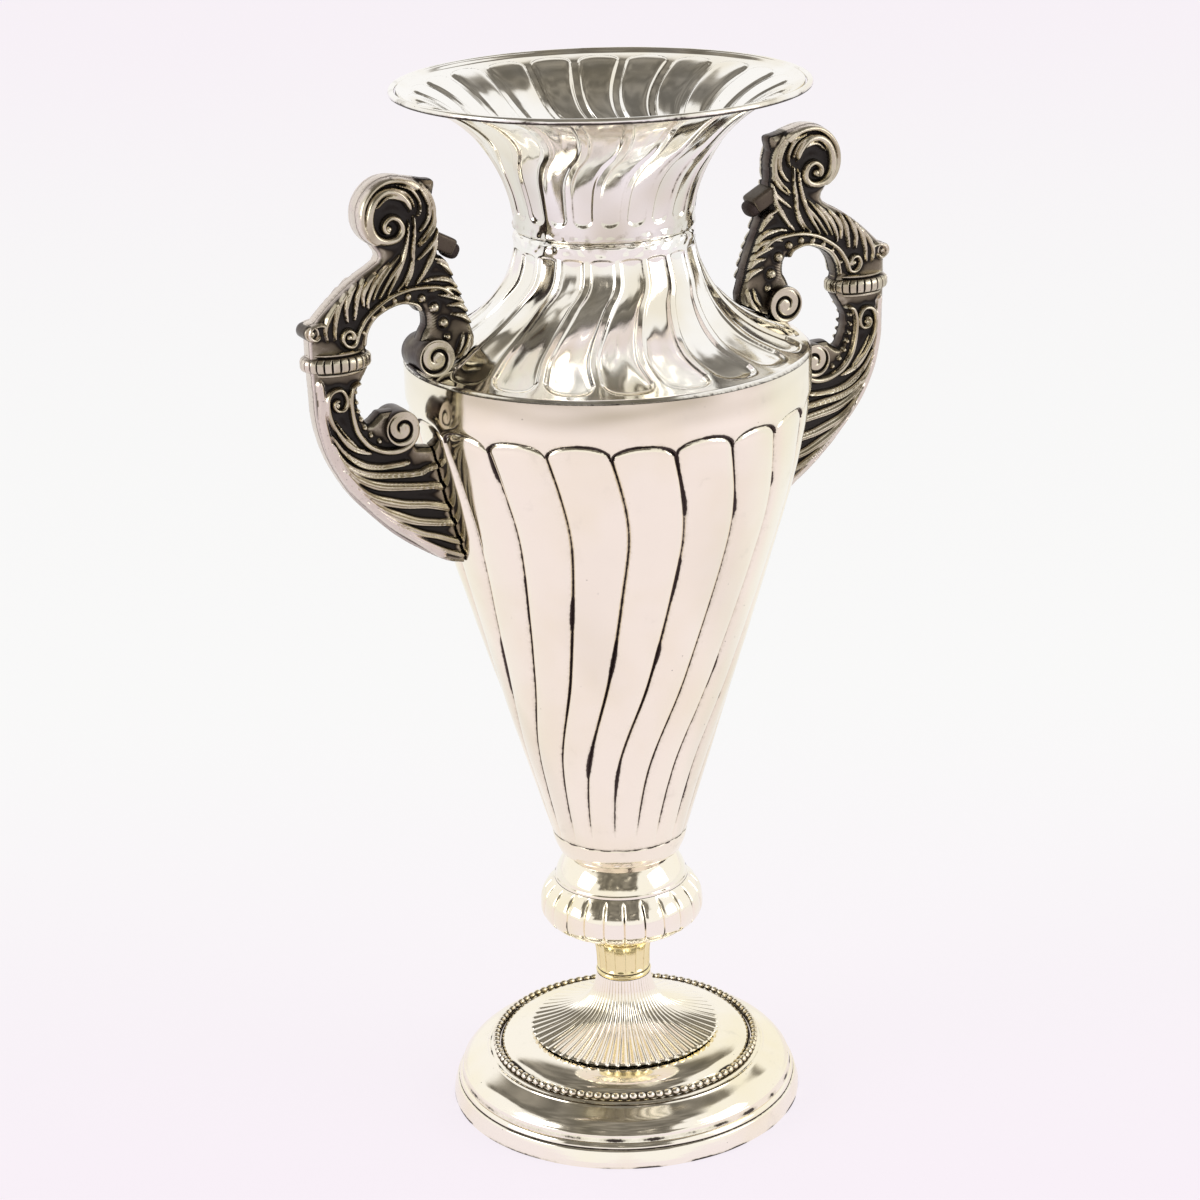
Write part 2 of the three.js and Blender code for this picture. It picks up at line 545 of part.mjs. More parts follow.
function shoulderFlare() {
  const line = withSwirl(curvePoints(shoulderCurve, 6), NECK_SWIRL);
  const section = sheetSection(line, { levelStart: true, levelEnd: true });
  const start = TURN / NECK_FLUTES / 2;
  const angles = patternAngles(NECK_FLUTES, [0, 0.5], start);
  let solid = toSolid(sweepSection(section, angles, ridgeWarp(NECK_FLUTES, start, 0.12, 0.8)));
  for (const side of [1, -1]) solid = solid.subtract(topScrewHole(side));
  add('shoulder_flare', toGeometry(solid), 'silver');
}

function neckBell() {
  const line = withSwirl(curvePoints(bellCurve, 6), BELL_SWIRL);
  const section = sheetSection(line, { levelStart: true });
  // spigot that laps inside the shoulder flare
  const lapRadius = WAIST_RADIUS - SHEET - SEAT_GAP;
  const foot = section.pop();
  section.push({ ...foot, r: lapRadius - SHEET, z: WAIST_HEIGHT + SEAT_GAP + SHEET });
  section.push({ ...foot, r: lapRadius - SHEET, z: WAIST_HEIGHT - LAP_LENGTH });
  section.push({ ...foot, r: lapRadius, z: WAIST_HEIGHT - LAP_LENGTH });
  section.push({ ...foot, r: lapRadius, z: WAIST_HEIGHT + SEAT_GAP });
  const start = BELL_FLUTE_START * RAD;
  const angles = patternAngles(BELL_FLUTES, [0, 0.5], start);
  add('neck_bell', sweepSection(section, angles, ridgeWarp(BELL_FLUTES, start, 0.2, 0.9)), 'silver');
}

function rimWire() {
  const sides = 6;
  const section = [];
  for (let k = 0; k < sides; k += 1) {
    const around = (k / sides) * TURN;
    section.push({
      r: RIM_RADIUS + RIM_WIRE_RADIUS * Math.cos(around),
      z: RIM_HEIGHT + RIM_WIRE_RADIUS * Math.sin(around),
    });
  }
  add('rim_wire', sweepSection(section, evenAngles(ROUND_STEPS)), 'silver');
}

// Handles

// The +X side of the urn seen square on, so r is x and the extrusion is along y
function plateFromOutline(shape, half, bevel) {
  const geometry = new THREE.ExtrudeGeometry(shape, {
    depth: 2 * (half - bevel),
    bevelEnabled: bevel > 0,
    bevelThickness: bevel,
    bevelSize: bevel * 0.6,
    bevelOffset: -bevel * 0.6,
    bevelSegments: 1,
    curveSegments: 1,
  });
  geometry.translate(0, 0, -(half - bevel));
  geometry.rotateX(Math.PI / 2);
  return geometry;
}

// Above the shoulder a handle is as tall as the rim leaves room for
const handleStretch = (RIM_HEIGHT - HANDLE_RIM_DROP - SHOULDER_HEIGHT) / (TOP_SCROLL.up + TOP_SCROLL.radius);

// Place of [out, up] from the shoulder edge
function fromShoulder(out, up) {
  return new THREE.Vector2(SHOULDER_RADIUS + out, SHOULDER_HEIGHT + (up > 0 ? up * handleStretch : up));
}

function discAcross({ out, up, radius, half }, segments = 18) {
  const bevel = Math.min(2, radius / 3);
  const profile = [
    [0, -half], [radius - bevel, -half], [radius, -half + bevel],
    [radius, half - bevel], [radius - bevel, half], [0, half],
  ].map(([x, y]) => new THREE.Vector2(x, y));
  const geometry = new THREE.LatheGeometry(profile, segments);
  const place = fromShoulder(out, up);
  geometry.translate(place.x, 0, place.y);
  return geometry;
}

function handleOutline() {
  const path = new THREE.Shape();
  const spline = (points) => path.splineThru(points.map(([out, up]) => fromShoulder(out, up)));
  const line = (out, up) => {
    const place = fromShoulder(out, up);
    path.lineTo(place.x, place.y);
  };
  // Corners set a little inside a volute, whose disc then makes the outside
  const insideVolute = ({ out, up, radius }, turns) => {
    for (const turn of turns) {
      const reach = radius - HANDLE_VOLUTE_INSET;
      line(out + reach * Math.cos(turn * RAD), up + reach * Math.sin(turn * RAD));
    }
  };
  const tail = fromShoulder(...HANDLE_TAIL);
  path.moveTo(tail.x, tail.y);
  spline(HANDLE_SPINE);
  spline(HANDLE_BACK);
  for (let turn = -60; turn <= 105; turn += 15) {
    line(TOP_SCROLL.out + TOP_SCROLL.radius * Math.cos(turn * RAD),
      TOP_SCROLL.up + TOP_SCROLL.radius * Math.sin(turn * RAD));
  }
  for (const point of HANDLE_TOP_CORNER) line(...point);
  spline(HANDLE_INSIDE);
  insideVolute(UPPER_VOLUTE, [-90, 0, 90]);
  spline(HANDLE_GAP_TOP);
  insideVolute(LOWER_VOLUTE, [90, 180]);
  for (const point of HANDLE_FAN_EDGE) line(...point);
  path.closePath();
  return path;
}

function handleRing() {
  const { out, up, radius, height, squash } = RING;
  const half = height / 2;
  const profile = [
    [0, -half], [radius - 3, -half], [radius - 2.4, -half * 0.55], [radius, -half * 0.3],
    [radius, half * 0.3], [radius - 2.4, half * 0.55], [radius - 3, half], [0, half],
  ].map(([x, y]) => new THREE.Vector2(x, y));
  const geometry = new THREE.LatheGeometry(profile, 20);
  geometry.rotateX(Math.PI / 2);
  geometry.scale(1, squash, 1);
  const place = fromShoulder(out, up);
  geometry.translate(place.x, 0, place.y);
  return geometry;
}

function handleNub() {
  const geometry = new THREE.BoxGeometry(NUB.length, 2 * NUB.half, NUB.height);
  geometry.rotateY(-NUB.tilt * RAD);
  const place = fromShoulder(NUB.out, NUB.up);
  geometry.translate(place.x, 0, place.y);
  return geometry;
}

function handleEar() {
  const geometry = new THREE.SphereGeometry(EAR.radius, 8, 6);
  const place = fromShoulder(EAR.out, EAR.up);
  geometry.translate(place.x, 0, place.y);
  return geometry;
}

// A leaf or band that rises from its sides to a crown on both faces of the handle
function reliefStroke({ line, half, crown }) {
  const points = line.map(([out, up]) => fromShoulder(out, up));
  const last = points.length - 1;
  const places = [];
  points.forEach((point, k) => {
    const along = new THREE.Vector2().subVectors(points[Math.min(k + 1, last)], points[Math.max(k - 1, 0)]);
    along.normalize();
    const share = k === 0 || k === last ? RELIEF_TIP : 1;
    const top = RELIEF_ROOT + (crown - RELIEF_ROOT) * share;
    const root = RELIEF_ROOT;
    for (const [side, y] of [[1, -root], [0, -top], [-1, -root], [-1, root], [0, top], [1, root]]) {
      const reach = side * half * share;
      places.push(point.x - along.y * reach, y, point.y + along.x * reach);
    }
  });
  const sides = 6;
  const faces = [];
  for (let k = 0; k < last; k += 1) {
    for (let i = 0; i < sides; i += 1) {
      const next = (i + 1) % sides;
      const [a, b] = [k * sides + i, k * sides + next];
      faces.push(a, b, b + sides, a, b + sides, a + sides);
    }
  }
  for (let i = 1; i < sides - 1; i += 1) {
    faces.push(0, i + 1, i, last * sides, last * sides + i, last * sides + i + 1);
  }
  const geometry = new THREE.BufferGeometry();
  geometry.setAttribute('position', new THREE.Float32BufferAttribute(places, 3));
  geometry.setIndex(faces);
  return geometry;
}

// Space kept clear round the body and neck, so that a handle stops short of them
function bodyEnvelope() {
  const grow = SEAT_GAP + 0.1;
  const line = [[0, HANDLE_CLEARANCE_LEVELS[0]]];
  const levels = [...HANDLE_CLEARANCE_LEVELS, BODY_UPPER_HEIGHT, SCALLOP_HEIGHT - 8, SCALLOP_HEIGHT];
  for (const z of levels.sort((a, b) => a - b)) {
    line.push([bodyLine(z) + grow, z]);
  }
  line.push([SHOULDER_RADIUS + grow, SCALLOP_HEIGHT + 6]);
  line.push([SHOULDER_RADIUS + grow, SHOULDER_HEIGHT + grow]);
  for (const { r, z } of curvePoints(shoulderCurve, 7).slice(1)) {
    line.push([r + grow, z + grow + NECK_RIDGE_HEIGHT]);
  }
  line.push([0, WAIST_HEIGHT + 2]);
  const geometry = new THREE.LatheGeometry(line.map(([x, y]) => new THREE.Vector2(x, y)), 60);
  geometry.rotateX(Math.PI / 2);
  return geometry;
}

function handles() {
  let solid = toSolid(plateFromOutline(handleOutline(), HANDLE_HALF_THICKNESS, HANDLE_EDGE_BEVEL));
  for (const disc of [UPPER_VOLUTE, LOWER_VOLUTE]) solid = solid.add(toSolid(discAcross(disc)));
  for (const disc of [TOP_SCROLL_EYE, SMALL_SCROLL_ABOVE, SMALL_SCROLL_BELOW]) {
    solid = solid.add(toSolid(discAcross(disc, 10)));
  }
  for (const stroke of HANDLE_RELIEF) solid = solid.add(toSolid(reliefStroke(stroke)));
  solid = solid.add(toSolid(handleRing()));
  solid = solid.add(toSolid(handleNub()));
  solid = solid.add(toSolid(handleEar()));
  solid = solid.subtract(toSolid(bodyEnvelope()));
  solid = solid.subtract(sideScrewHole(1));
  solid = solid.subtract(topScrewHole(1));
  solid = solid.simplify(RELIEF_SLIVER);
  add('handle_right', toGeometry(solid), 'cast');
  add('handle_left', toGeometry(solid), 'cast').rotation.z = Math.PI;
}

// Fastenings

function cylinderBetween(radius, low, high, segments = 10) {
  const geometry = new THREE.CylinderGeometry(radius, radius, high - low, segments);
  geometry.rotateX(Math.PI / 2);
  geometry.translate(0, 0, (low + high) / 2);
  return geometry;
}

function placeSideScrew(geometry, side) {
  geometry.rotateY(Math.PI / 2);
  geometry.translate(0, 0, SIDE_SCREW_HEIGHT);
  if (side < 0) geometry.rotateZ(Math.PI);
  return geometry;
}

function placeTopScrew(geometry, side) {
  geometry.translate(side * TOP_SCREW_RADIUS, 0, 0);
  return geometry;
}

const sideWallInner = bodyLine(SIDE_SCREW_HEIGHT) - SHEET;
const topSeat = SHOULDER_HEIGHT;

function sideScrewHole(side) {
  const hole = cylinderBetween(SCREW_RADIUS + HOLE_CLEARANCE, sideWallInner - HOLE_REACH,
    sideWallInner + SCREW_LENGTH + 1);
  return toSolid(placeSideScrew(hole, side));
}

function topScrewHole(side) {
  const hole = cylinderBetween(SCREW_RADIUS + HOLE_CLEARANCE, topSeat - HOLE_REACH,
    topSeat + SCREW_LENGTH + 1);
  return toSolid(placeTopScrew(hole, side));
}

// Pan-head screw with its shank along +Z; seat is the face under its washer
function screw(seat) {
  const headTop = seat - SCREW_WASHER_THICKNESS - 2 * SEAT_GAP;
  const profile = [
    [0, headTop - SCREW_HEAD_HEIGHT], [SCREW_HEAD_RADIUS * 0.7, headTop - SCREW_HEAD_HEIGHT],
    [SCREW_HEAD_RADIUS, headTop - SCREW_HEAD_HEIGHT * 0.5], [SCREW_HEAD_RADIUS, headTop],
    [SCREW_RADIUS, headTop], [SCREW_RADIUS, seat + SCREW_LENGTH], [0, seat + SCREW_LENGTH],
  ].map(([x, y]) => new THREE.Vector2(x, y));
  const geometry = new THREE.LatheGeometry(profile, 8);
  geometry.rotateX(Math.PI / 2);
  return geometry;
}

function ringSection(outer, inner, low, high) {
  return [{ r: outer, z: low }, { r: outer, z: high }, { r: inner, z: high }, { r: inner, z: low }];
}

function ring(outer, inner, low, high, count) {
  return sweepSection(ringSection(outer, inner, low, high), evenAngles(count));
}

// Hexagon nut: the six corners alternate with the middles of the flats
function nut(corner, inner, low, high) {
  const flat = corner * Math.cos(Math.PI / 6);
  const section = ringSection(corner, inner, low, high);
  const warp = (point, angle) => {
    const onCorner = Math.round((angle / TURN) * 12) % 2 === 0;
    return { r: point.r === corner && !onCorner ? flat : point.r, z: point.z };
  };
  return sweepSection(section, evenAngles(12), warp);
}

function handleFastenings() {
  for (const [side, label] of [[1, 'right'], [-1, 'left']]) {
    const washer = (seat) => ring(SCREW_WASHER_RADIUS, SCREW_RADIUS + HOLE_CLEARANCE,
      seat - SEAT_GAP - SCREW_WASHER_THICKNESS, seat - SEAT_GAP, 10);
    const nearest = Math.min(...[-1, 0, 1].map((k) => bodyLine(SIDE_SCREW_HEIGHT + k * SCREW_WASHER_RADIUS)));
    const sideSeat = nearest - SHEET - WASHER_STANDOFF;
    add(`side_screw_${label}`, placeSideScrew(screw(sideSeat), side), 'steel');
    add(`side_washer_${label}`, placeSideScrew(washer(sideSeat), side), 'steel');
    add(`top_screw_${label}`, placeTopScrew(screw(topSeat), side), 'steel');
    add(`top_washer_${label}`, placeTopScrew(washer(topSeat), side), 'steel');
  }
}

function tieRod() {
  const domeUnder = DOME_HEIGHT - SHEET;
  const floorTop = bodyBase + SHEET;
  const lowWasherTop = domeUnder - SEAT_GAP;
  const lowNutTop = lowWasherTop - ROD_WASHER_THICKNESS - SEAT_GAP;
  const highWasherBase = floorTop + SEAT_GAP;
  const highNutBase = highWasherBase + ROD_WASHER_THICKNESS + SEAT_GAP;
  const rodLow = lowNutTop - ROD_NUT_HEIGHT - 3;
  const rodHigh = highNutBase + ROD_NUT_HEIGHT + 3;
  add('tie_rod', cylinderBetween(ROD_RADIUS, rodLow, rodHigh, 16), 'steel');
  const bore = ROD_RADIUS + SEAT_GAP;
  const washer = (low) => ring(ROD_WASHER_RADIUS, bore, low, low + ROD_WASHER_THICKNESS, 24);
  add('foot_washer', washer(lowWasherTop - ROD_WASHER_THICKNESS), 'steel');
  add('foot_nut', nut(ROD_NUT_RADIUS, bore, lowNutTop - ROD_NUT_HEIGHT, lowNutTop), 'steel');
  add('body_washer', washer(highWasherBase), 'steel');
  add('body_nut', nut(ROD_NUT_RADIUS, bore, highNutBase, highNutBase + ROD_NUT_HEIGHT), 'steel');
}

footBand();
footOgee();
beadWire();
footDome();
footTrumpet();
stemCollar();
knopLower();
knopUpper();
bodyCup();
bodyShell();
shoulderFlare();
neckBell();
rimWire();
handles();
handleFastenings();
tieRod();

export default urn;
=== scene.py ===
"""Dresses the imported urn: fluted silver-plated shells, two cast scroll handles and plain steel fastenings."""
import math

import bpy
import numpy as np
from mathutils import Matrix, Vector


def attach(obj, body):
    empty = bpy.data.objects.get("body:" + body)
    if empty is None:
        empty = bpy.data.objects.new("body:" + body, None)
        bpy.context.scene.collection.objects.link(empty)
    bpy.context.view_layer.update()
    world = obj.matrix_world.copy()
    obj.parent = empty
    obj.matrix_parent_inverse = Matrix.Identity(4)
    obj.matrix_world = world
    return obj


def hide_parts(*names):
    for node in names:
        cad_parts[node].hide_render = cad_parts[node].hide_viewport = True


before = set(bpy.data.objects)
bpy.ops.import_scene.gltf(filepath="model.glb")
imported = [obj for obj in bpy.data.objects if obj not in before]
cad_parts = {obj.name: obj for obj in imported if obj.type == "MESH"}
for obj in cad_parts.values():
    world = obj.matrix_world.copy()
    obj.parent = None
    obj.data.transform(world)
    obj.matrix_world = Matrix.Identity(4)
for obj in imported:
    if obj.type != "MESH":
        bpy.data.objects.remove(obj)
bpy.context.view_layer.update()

MM = 0.001
TURN = 2 * math.pi
RAD = math.pi / 180

# Sizes of the part, in millimetres
SHEET = 1.6
SEAT_GAP = 0.3
BORE_RADIUS = 4.4
FOOT_BAND_HEIGHT = 13.7
BEAD_RING_RADIUS, BEAD_RING_HEIGHT = 76.8, 32.0
BEAD_COUNT, BEAD_RADIUS, BEAD_WIRE_RADIUS = 96, 2.0, 1.2
OGEE_TOP = BEAD_RING_HEIGHT - BEAD_RADIUS - SEAT_GAP
FRONT = 243 * RAD
TRUMPET_FLUTES = 56
COLLAR_FLUTES = 16
KNOP_LOBES = 24
BODY_FLUTES = 20
BODY_BASE = 168.7
SCALLOP_HEIGHT, SCALLOP_RISE = 427.0, 8.0
SHOULDER_RADIUS, SHOULDER_HEIGHT = 112.0, 452.0
BODY_LINE = [(BODY_BASE, 39.3), (270, 69.8), (370, 99.3), (407, 108), (427, 111.2), (435, 112), (452, 112)]
BODY_SWIRL = [(170, -23), (222, -18), (283, -3), (365, 5), (423, 0)]
WAIST_RADIUS, WAIST_HEIGHT = 47.8, 521.0
NECK_FLUTES = 20
NECK_SWIRL = [(452, -1), (464, -5), (472, -4.6), (479, -2.6), (488, 1), (500, 7.2), (521, 6.4)]
BELL_FLUTES, BELL_START = 22, -2.45
BELL_SWIRL = [(530, -4.5), (543, -4), (555, -2.2), (564, 2), (572, 7.5), (582, 9.5), (598, 8)]
RIM_RADIUS, RIM_HEIGHT, RIM_WIRE_RADIUS = 111.6, 598.0, 2.0


# Curves

def bezier(start, end, first, second, count):
    """Cubic curve; its control points are shares of the way across and up from start to end."""
    start, end = np.array(start, float), np.array(end, float)
    a = start + np.array(first) * (end - start)
    b = start + np.array(second) * (end - start)
    t = np.linspace(0, 1, count)[:, None]
    return (1 - t) ** 3 * start + 3 * (1 - t) ** 2 * t * a + 3 * (1 - t) * t ** 2 * b + t ** 3 * end


def catmull(points, count):
    """Smooth line through the points, as an array of count points."""
    p = np.array(points, float)
    at = np.linspace(0, len(p) - 1, count)
    i = np.minimum(at.astype(int), len(p) - 2)
    w = (at - i)[:, None]
    p0, p1, p2, p3 = p[np.maximum(i - 1, 0)], p[i], p[i + 1], p[np.minimum(i + 2, len(p) - 1)]
    v0, v1 = (p2 - p0) / 2, (p3 - p1) / 2
    return (2 * p1 - 2 * p2 + v0 + v1) * w ** 3 + (-3 * p1 + 3 * p2 - 2 * v0 - v1) * w ** 2 + v0 * w + p1


def line_through(points):
    samples = catmull(points, 400)
    return lambda z: np.interp(z, samples[:, 0], samples[:, 1])


def lengths(line):
    steps = np.hypot(*np.diff(line, axis=0).T)
    return np.concatenate([[0], np.cumsum(steps)])


def spread(line, places):
    """Points of a line at the given shares of its length."""
    s = lengths(line)
    at = np.asarray(places) * s[-1]
    return np.stack([np.interp(at, s, line[:, k]) for k in range(line.shape[1])], 1)


def smooth(x, low, high):
    t = np.clip((x - low) / (high - low), 0, 1)
    return t * t * (3 - 2 * t)


def waves(angle, z, seed, size, count=14, tall=1.0):
    """Smooth unevenness over a round piece, about -1 to 1; size is its grain in millimetres."""
    rng = np.random.default_rng(seed)
    total = np.zeros(np.broadcast(angle, z).shape)
    for _ in range(count):
        n = rng.integers(1, max(2, int(2 * 2.2 * TURN * 70 / size / 4)))
        k = rng.normal() * TURN / size / 2.2 / tall
        total = total + np.cos(n * angle + k * z + rng.uniform(0, TURN))
    return total * 1.4 / math.sqrt(count) / 1.4


# Meshes

def make_mesh(name, places, faces, marks=None, crease=None):
    """Mesh object from places in millimetres and equal-sided faces; marks are named values per point."""
    mesh = bpy.data.meshes.new(name)
    places = np.asarray(places, np.float32) * MM
    faces = np.asarray(faces, np.int32)
    sides = faces.shape[1]
    mesh.vertices.add(len(places))
    mesh.vertices.foreach_set("co", places.ravel())
    mesh.loops.add(faces.size)
    mesh.loops.foreach_set("vertex_index", faces.ravel())
    mesh.polygons.add(len(faces))
    mesh.polygons.foreach_set("loop_start", np.arange(0, faces.size, sides, dtype=np.int32))
    mesh.update(calc_edges=True)
    mesh.validate()
    mesh.polygons.foreach_set("use_smooth", np.ones(len(mesh.polygons), bool))
    for label, values in (marks or {}).items():
        layer = mesh.attributes.new(label, "FLOAT", "POINT")
        layer.data.foreach_set("value", np.asarray(values, np.float32).ravel())
    if crease:
        mesh.set_sharp_from_angle(angle=crease * RAD)
    piece = bpy.data.objects.new(name, mesh)
    bpy.context.scene.collection.objects.link(piece)
    return piece


def loop_faces(columns, rows):
    """Faces of a grid that closes both round the axis and round its section."""
    i, k = np.meshgrid(np.arange(columns), np.arange(rows), indexing="ij")
    n, m = (i + 1) % columns, (k + 1) % rows
    return np.stack([i * rows + k, n * rows + k, n * rows + m, i * rows + m], -1).reshape(-1, 4)


def outward(places, faces):
    """The faces, turned so that they look out of the closed solid."""
    a, b, c, d = (places[faces[:, j]] for j in range(4))
    volume = np.einsum("ij,ij->i", a, np.cross(b, c)).sum() + np.einsum("ij,ij->i", a, np.cross(c, d)).sum()
    return faces if volume > 0 else faces[:, ::-1]


def revolve(name, r, z, angle, marks=None, crease=40):
    """Closed solid from a grid of section points: columns round the axis, rows round the section."""
    places = np.stack([r * np.cos(angle), r * np.sin(angle), z], -1)
    columns, rows = r.shape
    flat = places.reshape(-1, 3)
    return make_mesh(name, flat, outward(flat, loop_faces(columns, rows)), marks, crease)


def even(count):
    return np.arange(count) / count * TURN


def repeat_shares(near, middle):
    """Shares across one flute, close together at its edges."""
    half = np.array(list(near) + list(middle))
    return np.concatenate([half, [0.5], 1 - half[:0:-1]])


def shell_section(line, sheet=SHEET, level_start=True, level_end=True):
    """Outer line of a shell, its unit normals, and the step from the outer to the inner surface."""
    dr, dz = np.gradient(line[:, 0]), np.gradient(line[:, 1])
    run = np.hypot(dr, dz)
    nr, nz = dz / run, -dr / run
    ir, iz = -sheet * nr, -sheet * nz
    if level_start:
        ir[0], iz[0] = -sheet / nr[0], 0
    if level_end:
        ir[-1], iz[-1] = -sheet / nr[-1], 0
    return nr, nz, ir, iz


def shell(name, line, angle, push, marks=None, inner_every=3, tail=None, crease=40, **ends):
    """Pressed sheet shell. line is its outer profile [r, z] upwards, angle and push have a value for each
    column and row, and push moves both surfaces along the normal. tail adds rows [r, z] to close the section."""
    nr, nz, ir, iz = shell_section(line, **ends)
    rows = len(line)
    keep = sorted(set(range(0, rows, inner_every)) | {rows - 1})[::-1]
    angle = np.broadcast_to(angle, push.shape)
    outer_r, outer_z = line[:, 0] + push * nr, line[:, 1] + push * nz
    inner_r, inner_z = (outer_r + ir)[:, keep], (outer_z + iz)[:, keep]
    r = np.concatenate([outer_r, inner_r], 1)
    z = np.concatenate([outer_z, inner_z], 1)
    a = np.concatenate([angle, angle[:, keep]], 1)
    values = {label: np.concatenate([v, v[:, keep]], 1) for label, v in (marks or {}).items()}
    if tail is not None:
        count = len(tail)
        if count and ends.get("floor_lift"):
            pass
        r = np.concatenate([r, np.broadcast_to(tail[:, 0], (len(r), count))], 1)
        z = np.concatenate([z, np.broadcast_to(tail[:, 1], (len(r), count))], 1)
        a = np.concatenate([a, np.repeat(a[:, -1:], count, 1)], 1)
        values = {label: np.concatenate([v, np.zeros((len(r), count))], 1) for label, v in values.items()}
    return revolve(name, r, z, a, values, crease)


def across(places, points):
    """Distance from each place to the nearest of the points, both [.., 2]."""
    flat = places.reshape(-1, 2)
    best = np.full(len(flat), 1e9)
    for start in range(0, len(points), 64):
        part = points[start:start + 64]
        gap = np.hypot(flat[:, None, 0] - part[None, :, 0], flat[:, None, 1] - part[None, :, 1])
        best = np.minimum(best, gap.min(1))
    return best.reshape(places.shape[:-1])


# Materials

def node(tree, kind, **values):
    made = tree.nodes.new(kind)
    for key, value in values.items():
        if isinstance(value, dict):
            continue
        setattr(made, key, value)
    for key, value in values.get("sockets", {}).items():
        socket = made.inputs[key]
        if isinstance(value, bpy.types.NodeSocket):
            tree.links.new(value, socket)
        else:
            socket.default_value = value
    return made


class Shader:
    """Small helper to wire up one material."""

    def __init__(self, name):
        self.material = bpy.data.materials.new(name)
        self.material.use_nodes = True
        self.tree = self.material.node_tree
        self.surface = self.tree.nodes["Principled BSDF"]
        self.place = node(self.tree, "ShaderNodeTexCoord").outputs["Object"]

    def mapped(self, scale, location=(0, 0, 0)):
        return node(self.tree, "ShaderNodeMapping",
                    sockets={"Vector": self.place, "Scale": scale, "Location": location}).outputs[0]

    def noise(self, scale, detail=2.0, rough=0.5, vector=None, distortion=0.0):
        return node(self.tree, "ShaderNodeTexNoise", sockets={
            "Vector": vector or self.place, "Scale": scale, "Detail": detail, "Roughness": rough,
            "Distortion": distortion}).outputs["Fac"]

    def cells(self, scale, feature="F1", vector=None, output="Distance"):
        return node(self.tree, "ShaderNodeTexVoronoi", feature=feature,
                    sockets={"Vector": vector or self.place, "Scale": scale}).outputs[output]

    def mark(self, label):
        return node(self.tree, "ShaderNodeAttribute", attribute_name=label).outputs["Fac"]

    def span(self, value, low, high, to_low=0.0, to_high=1.0):
        return node(self.tree, "ShaderNodeMapRange", interpolation_type="SMOOTHSTEP", sockets={
            "Value": value, "From Min": low, "From Max": high, "To Min": to_low, "To Max": to_high}).outputs[0]

    def maths(self, operation, a, b=0.0, clamp=False):
        made = node(self.tree, "ShaderNodeMath", operation=operation, use_clamp=clamp)
        for socket, value in zip(made.inputs, (a, b)):
            if isinstance(value, bpy.types.NodeSocket):
                self.tree.links.new(value, socket)
            else:
                socket.default_value = value
        return made.outputs[0]

    def blend(self, share, a, b, mode="MIX"):
        made = node(self.tree, "ShaderNodeMix", data_type="RGBA", blend_type=mode)
        for socket, value in ((made.inputs[0], share), (made.inputs[6], a), (made.inputs[7], b)):
            if isinstance(value, bpy.types.NodeSocket):
                self.tree.links.new(value, socket)
            else:
                socket.default_value = value if isinstance(value, float) else (*value, 1.0)
        return made.outputs[2]

    def bump(self, height, distance, strength=1.0, normal=None):
        sockets = {"Height": height, "Distance": distance, "Strength": strength}
        if normal is not None:
            sockets["Normal"] = normal
        return node(self.tree, "ShaderNodeBump", sockets=sockets).outputs[0]

    def finish(self, color, rough, metal=1.0, normal=None):
        for key, value in (("Base Color", color), ("Roughness", rough), ("Metallic", metal), ("Normal", normal)):
            if isinstance(value, bpy.types.NodeSocket):
                self.tree.links.new(value, self.surface.inputs[key])
            elif value is not None:
                self.surface.inputs[key].default_value = value if isinstance(value, float) else (*value, 1.0)
        return self.material


def silver(name, bright, warm, warmth=0.5, rough=0.07, ripple=0.5, tarnish_color=(0.045, 0.032, 0.026)):
    """Polished plate: faint ripples, hairline scratches, straw-coloured bloom, and dark tarnish where marked."""
    s = Shader(name)
    bloom = s.span(s.noise(13.0, 3.0, 0.55), 0.42, 0.68)
    color = s.blend(s.maths("MULTIPLY", bloom, warmth), bright, warm)
    # painted shade and painted reflection: where a piece is marked shade, its colour goes towards a darker straw
    color = s.blend(s.mark("shade"), color, tuple(0.62 * w for w in warm))
    smudge = s.noise(70.0, 4.0, 0.6)
    color = s.blend(s.span(smudge, 0.62, 0.8, 0.0, 0.22), color, tuple(c * 0.62 for c in bright))
    # tarnish holds in the grooves, ragged at its edge
    ragged = s.noise(420.0, 3.0, 0.65)
    held = s.maths("ADD", s.mark("tarnish"), s.maths("MULTIPLY", s.maths("SUBTRACT", ragged, 0.5), 0.55))
    dark = s.span(held, 0.42, 0.62)
    # the faint fringe of the mark goes to a darker straw; on the body this also carries painted shade beside the
    # grooves
    halo = s.span(held, 0.12, 0.5, 0.0, 0.42)
    color = s.blend(halo, color, tuple(w * 0.55 for w in warm))
    color = s.blend(dark, color, tarnish_color)
    pits = s.span(s.cells(150.0), 0.035, 0.06, 1.0, 0.0)
    pits = s.maths("MULTIPLY", pits, s.span(s.noise(22.0, 1.0), 0.52, 0.6))
    color = s.blend(s.maths("MULTIPLY", pits, 0.8), color, tarnish_color)
    roughness = s.span(smudge, 0.4, 0.75, rough, rough + 0.09)
    roughness = s.maths("ADD", roughness, s.maths("MULTIPLY", dark, 0.4), clamp=True)
    hair = s.noise(1.0, 3.0, 0.7, vector=s.mapped((160, 160, 5200)))
    hair_steep = s.noise(1.0, 2.0, 0.7, vector=s.mapped((2600, 2600, 90)))
    normal = s.bump(hair, 0.00002, 0.35)
    normal = s.bump(hair_steep, 0.00002, 0.2, normal)
    normal = s.bump(s.noise(95.0, 2.0, 0.5), 0.0006, 0.06 * ripple, normal)
    normal = s.bump(pits, 0.0003, -0.6, normal)
    metal = s.maths("SUBTRACT", 1.0, s.maths("MULTIPLY", dark, 0.55))
    return s.finish(color, roughness, metal, normal)


